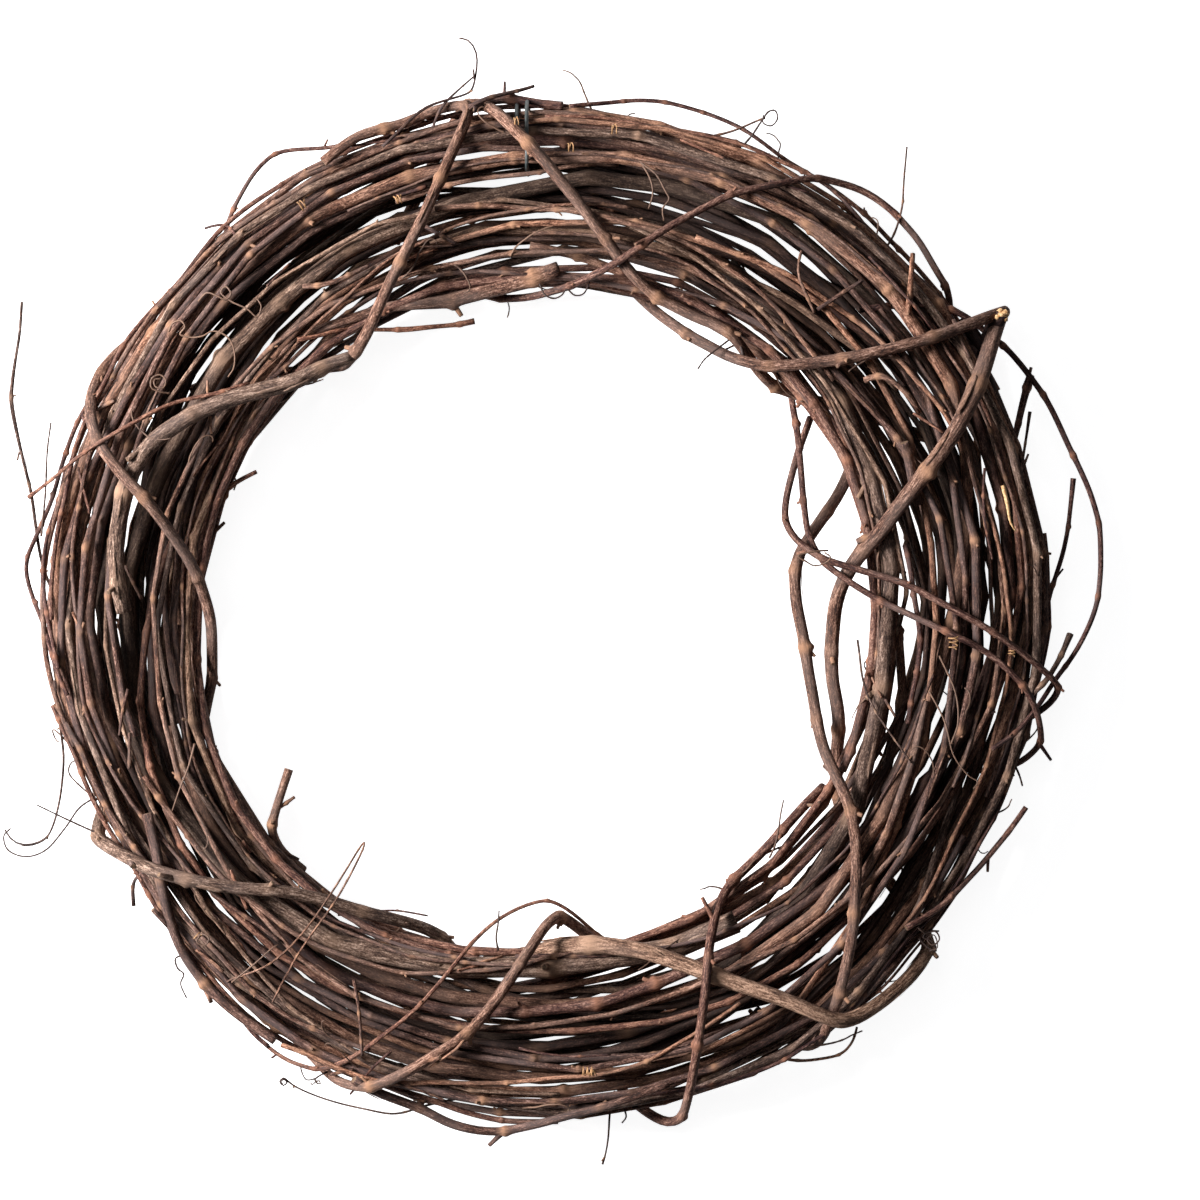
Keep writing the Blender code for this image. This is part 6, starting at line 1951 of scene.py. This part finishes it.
def bark_finish(name, groups, shades, joint_shade, grey_share, fibre, gloss, bump):
    """Bark: fibres and mottling along the cane, weathered patches, paler joints, painted shade deep
    in.
    """
    material, tree, shader = empty_material(name)
    parts = node(tree, "ShaderNodeSeparateXYZ", {0: attribute(tree, "marks")}).outputs
    fine = fibres_on(tree, groups, across=fibre, along=fibre * 0.16, detail=5.0)
    coarse = fibres_on(tree, groups, across=fibre * 0.3, along=fibre * 0.035, detail=3.0)
    specks = fibres_on(tree, groups, across=2.2, along=1.0, detail=2.0)
    patches = blotches_on(tree, groups, size=0.16, share=0.5, edge=0.16)
    grey = blotches_on(tree, groups, size=0.05, share=1.0 - grey_share, edge=0.1)
    level = weighed(tree, ((fine, 1.8), (specks, 1.3), (coarse, 0.7), (patches, 0.14),
                           (parts[1], 0.28), (parts[2], 0.20)))
    level = maths(tree, "SUBTRACT", level, LEVEL_DROP)
    colour = shades_along(tree, level, tuple(zip(SHADE_PLACES, shades)))
    colour = mixed(tree, maths(tree, "MULTIPLY", grey, WEATHERED_SHARE), colour, WEATHERED)
    colour = mixed(tree, 1.0, colour, shades_along(tree, parts[1], WARMTH), "MULTIPLY")
    joint = maths(tree, "MULTIPLY", parts[0], maths(tree, "MULTIPLY", fine, JOINT_FIBRES), True)
    colour = mixed(tree, joint, colour, (*joint_shade, 1.0))
    # Painted shade: canes deep in the band are darkened towards a dark bark colour, as if in shadow
    painted_shade = map_range(tree, attribute(tree, "unshaded", "Fac"), {"To Min": 0.72, "To Max": 0.0})
    colour = mixed(tree, painted_shade, colour, (*(PAINTED_SHADE_DARKNESS * part for part in shades[0]), 1.0))
    rough = map_range(tree, fine, {"From Min": 0.3, "From Max": 0.7, "To Min": gloss,
                                   "To Max": gloss + GLOSS_SPAN})
    height = weighed(tree, ((fine, 0.6), (coarse, 0.9), (specks, 0.35)))
    raised = node(tree, "ShaderNodeBump", {"Strength": 0.75, "Distance": bump, "Height": height})
    feed(tree, shader, {"Base Color": colour, "Roughness": rough, "Normal": raised.outputs[0],
                        "Specular IOR Level": 0.22})
    return material


def cut_wood_finish(name, dark, light, grime):
    """The pale wood of a cut end, dirty and a little cracked."""
    material, tree, shader = empty_material(name)
    place = node(tree, "ShaderNodeTexCoord").outputs["Object"]
    grain = noise(tree, place, scale=900.0, detail=4.0)
    dirt = maths(tree, "MULTIPLY", noise(tree, place, scale=160.0, detail=2.0), grime)
    wood = shades_along(tree, grain, ((0.3, dark), (0.68, light)))
    colour = mixed(tree, dirt, wood, GRIME_COLOUR)
    raised = node(tree, "ShaderNodeBump", {"Strength": 0.6, "Distance": 0.0002, "Height": grain})
    feed(tree, shader, {"Base Color": colour, "Roughness": 0.85, "Normal": raised.outputs[0]})
    return material


def wire_finish(groups):
    """Green-grey paint on the florist wire, scuffed."""
    material, tree, shader = empty_material("wire_green")
    scuffs = blotches_on(tree, groups, size=1.1, share=0.56, edge=0.08)
    fine = fibres_on(tree, groups, across=2.0, along=0.8, detail=3.0)
    paint = mixed(tree, fine, *WIRE_PAINT)
    colour = mixed(tree, maths(tree, "MULTIPLY", scuffs, 0.5), paint, WIRE_SCUFF)
    rough = maths(tree, "ADD", maths(tree, "MULTIPLY", fine, 0.3), 0.3)
    feed(tree, shader, {"Base Color": colour, "Roughness": rough})
    return material


def tendril_finish(name, groups, dark, light, gloss):
    """The smooth skin of a tendril, streaked along it."""
    material, tree, shader = empty_material(name)
    tone = node(tree, "ShaderNodeSeparateXYZ", {0: attribute(tree, "marks")}).outputs[1]
    streaks = fibres_on(tree, groups, across=2.5, along=0.5, detail=3.0)
    patches = blotches_on(tree, groups, size=0.5, share=0.5, edge=0.2)
    level = weighed(tree, ((streaks, 0.8), (tone, 0.35), (patches, 0.2)))
    colour = shades_along(tree, level, ((0.3, dark), (1.0, light)))
    rough = maths(tree, "ADD", maths(tree, "MULTIPLY", streaks, 0.3), gloss)
    feed(tree, shader, {"Base Color": colour, "Roughness": rough})
    return material


def make_finishes():
    """Every finish by name."""
    groups = {"fibres": fibres_group(), "blotches": blotches_group()}
    finishes = {bark: bark_finish(bark, groups, *looks) for bark, looks in BARK_COLOURS.items()}
    for name, looks in TENDRIL_COLOURS.items():
        finishes[name] = tendril_finish(name, groups, *looks)
    for name, looks in WOOD_COLOURS.items():
        finishes[name] = cut_wood_finish(name, *looks)
    finishes["wire_green"] = wire_finish(groups)
    return finishes


# Studio


def area_light(name, place, size, power, colour):
    """A soft square light that shines from a place towards the middle of the ring."""
    data = bpy.data.lights.new(name, "AREA")
    data.size = size
    data.energy = power
    data.color = colour
    light = bpy.data.objects.new(name, data)
    light.location = place
    light.rotation_euler = (-Vector(place)).to_track_quat("-Z", "Y").to_euler()
    bpy.context.scene.collection.objects.link(light)


def floor_paper():
    """White paper that glows a little towards the camera."""
    material, tree, shader = empty_material("floor_paper")
    place = node(tree, "ShaderNodeTexCoord").outputs["Object"]
    colour = mixed(tree, noise(tree, place, scale=60.0, detail=3.0), *PAPER_COLOURS)
    seen = node(tree, "ShaderNodeLightPath").outputs["Is Camera Ray"]
    glow = map_range(tree, seen, {"To Min": 0.0, "To Max": FLOOR_GLOW})
    feed(tree, shader, {"Base Color": colour, "Roughness": 0.9,
                        "Emission Color": (1.0, 1.0, 1.0, 1.0), "Emission Strength": glow})
    return material


def studio():
    """Pale floor, soft lights from the upper left, and the camera straight above."""
    floor_form = bmesh.new()
    bmesh.ops.create_grid(floor_form, x_segments=1, y_segments=1, size=FLOOR_SIZE)
    bmesh.ops.translate(floor_form, verts=floor_form.verts, vec=(0.0, 0.0, FLOOR_HEIGHT))
    mesh = bpy.data.meshes.new("floor")
    floor_form.to_mesh(mesh)
    floor_form.free()
    mesh.materials.append(floor_paper())
    floor = bpy.data.objects.new("floor", mesh)
    bpy.context.scene.collection.objects.link(floor)

    world = bpy.data.worlds.new("soft_room")
    world.use_nodes = True
    background = world.node_tree.nodes["Background"]
    feed(world.node_tree, background, {0: ROOM_COLOUR, 1: ROOM_LIGHT})
    bpy.context.scene.world = world
    bpy.context.scene.view_settings.view_transform = "Standard"
    for light in LIGHTS:
        area_light(*light)

    data = bpy.data.cameras.new("camera")
    data.sensor_width = SENSOR_WIDTH
    data.lens = SENSOR_WIDTH * (CAMERA_HEIGHT - FACE_HEIGHT) / FRAME_WIDTH
    camera = bpy.data.objects.new("camera", data)
    camera.location = (*CAMERA_AIM, CAMERA_HEIGHT)
    bpy.context.scene.collection.objects.link(camera)
    bpy.context.scene.camera = camera


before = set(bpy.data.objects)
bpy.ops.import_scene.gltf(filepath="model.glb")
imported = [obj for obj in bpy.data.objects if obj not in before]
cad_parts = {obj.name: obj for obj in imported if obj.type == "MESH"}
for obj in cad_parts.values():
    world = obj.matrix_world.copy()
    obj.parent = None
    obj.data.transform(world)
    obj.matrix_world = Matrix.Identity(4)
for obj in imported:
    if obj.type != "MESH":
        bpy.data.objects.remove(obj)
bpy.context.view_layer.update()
studio()
finishes = make_finishes()
canes = [tube for tube in build_pieces(finishes) if "cane" in tube["name"]]
add_thin_canes(canes, finishes)
add_short_twigs(canes, finishes)
add_tendrils(canes, finishes)
add_torn_elbow(finishes)
add_shown_twigs(finishes)
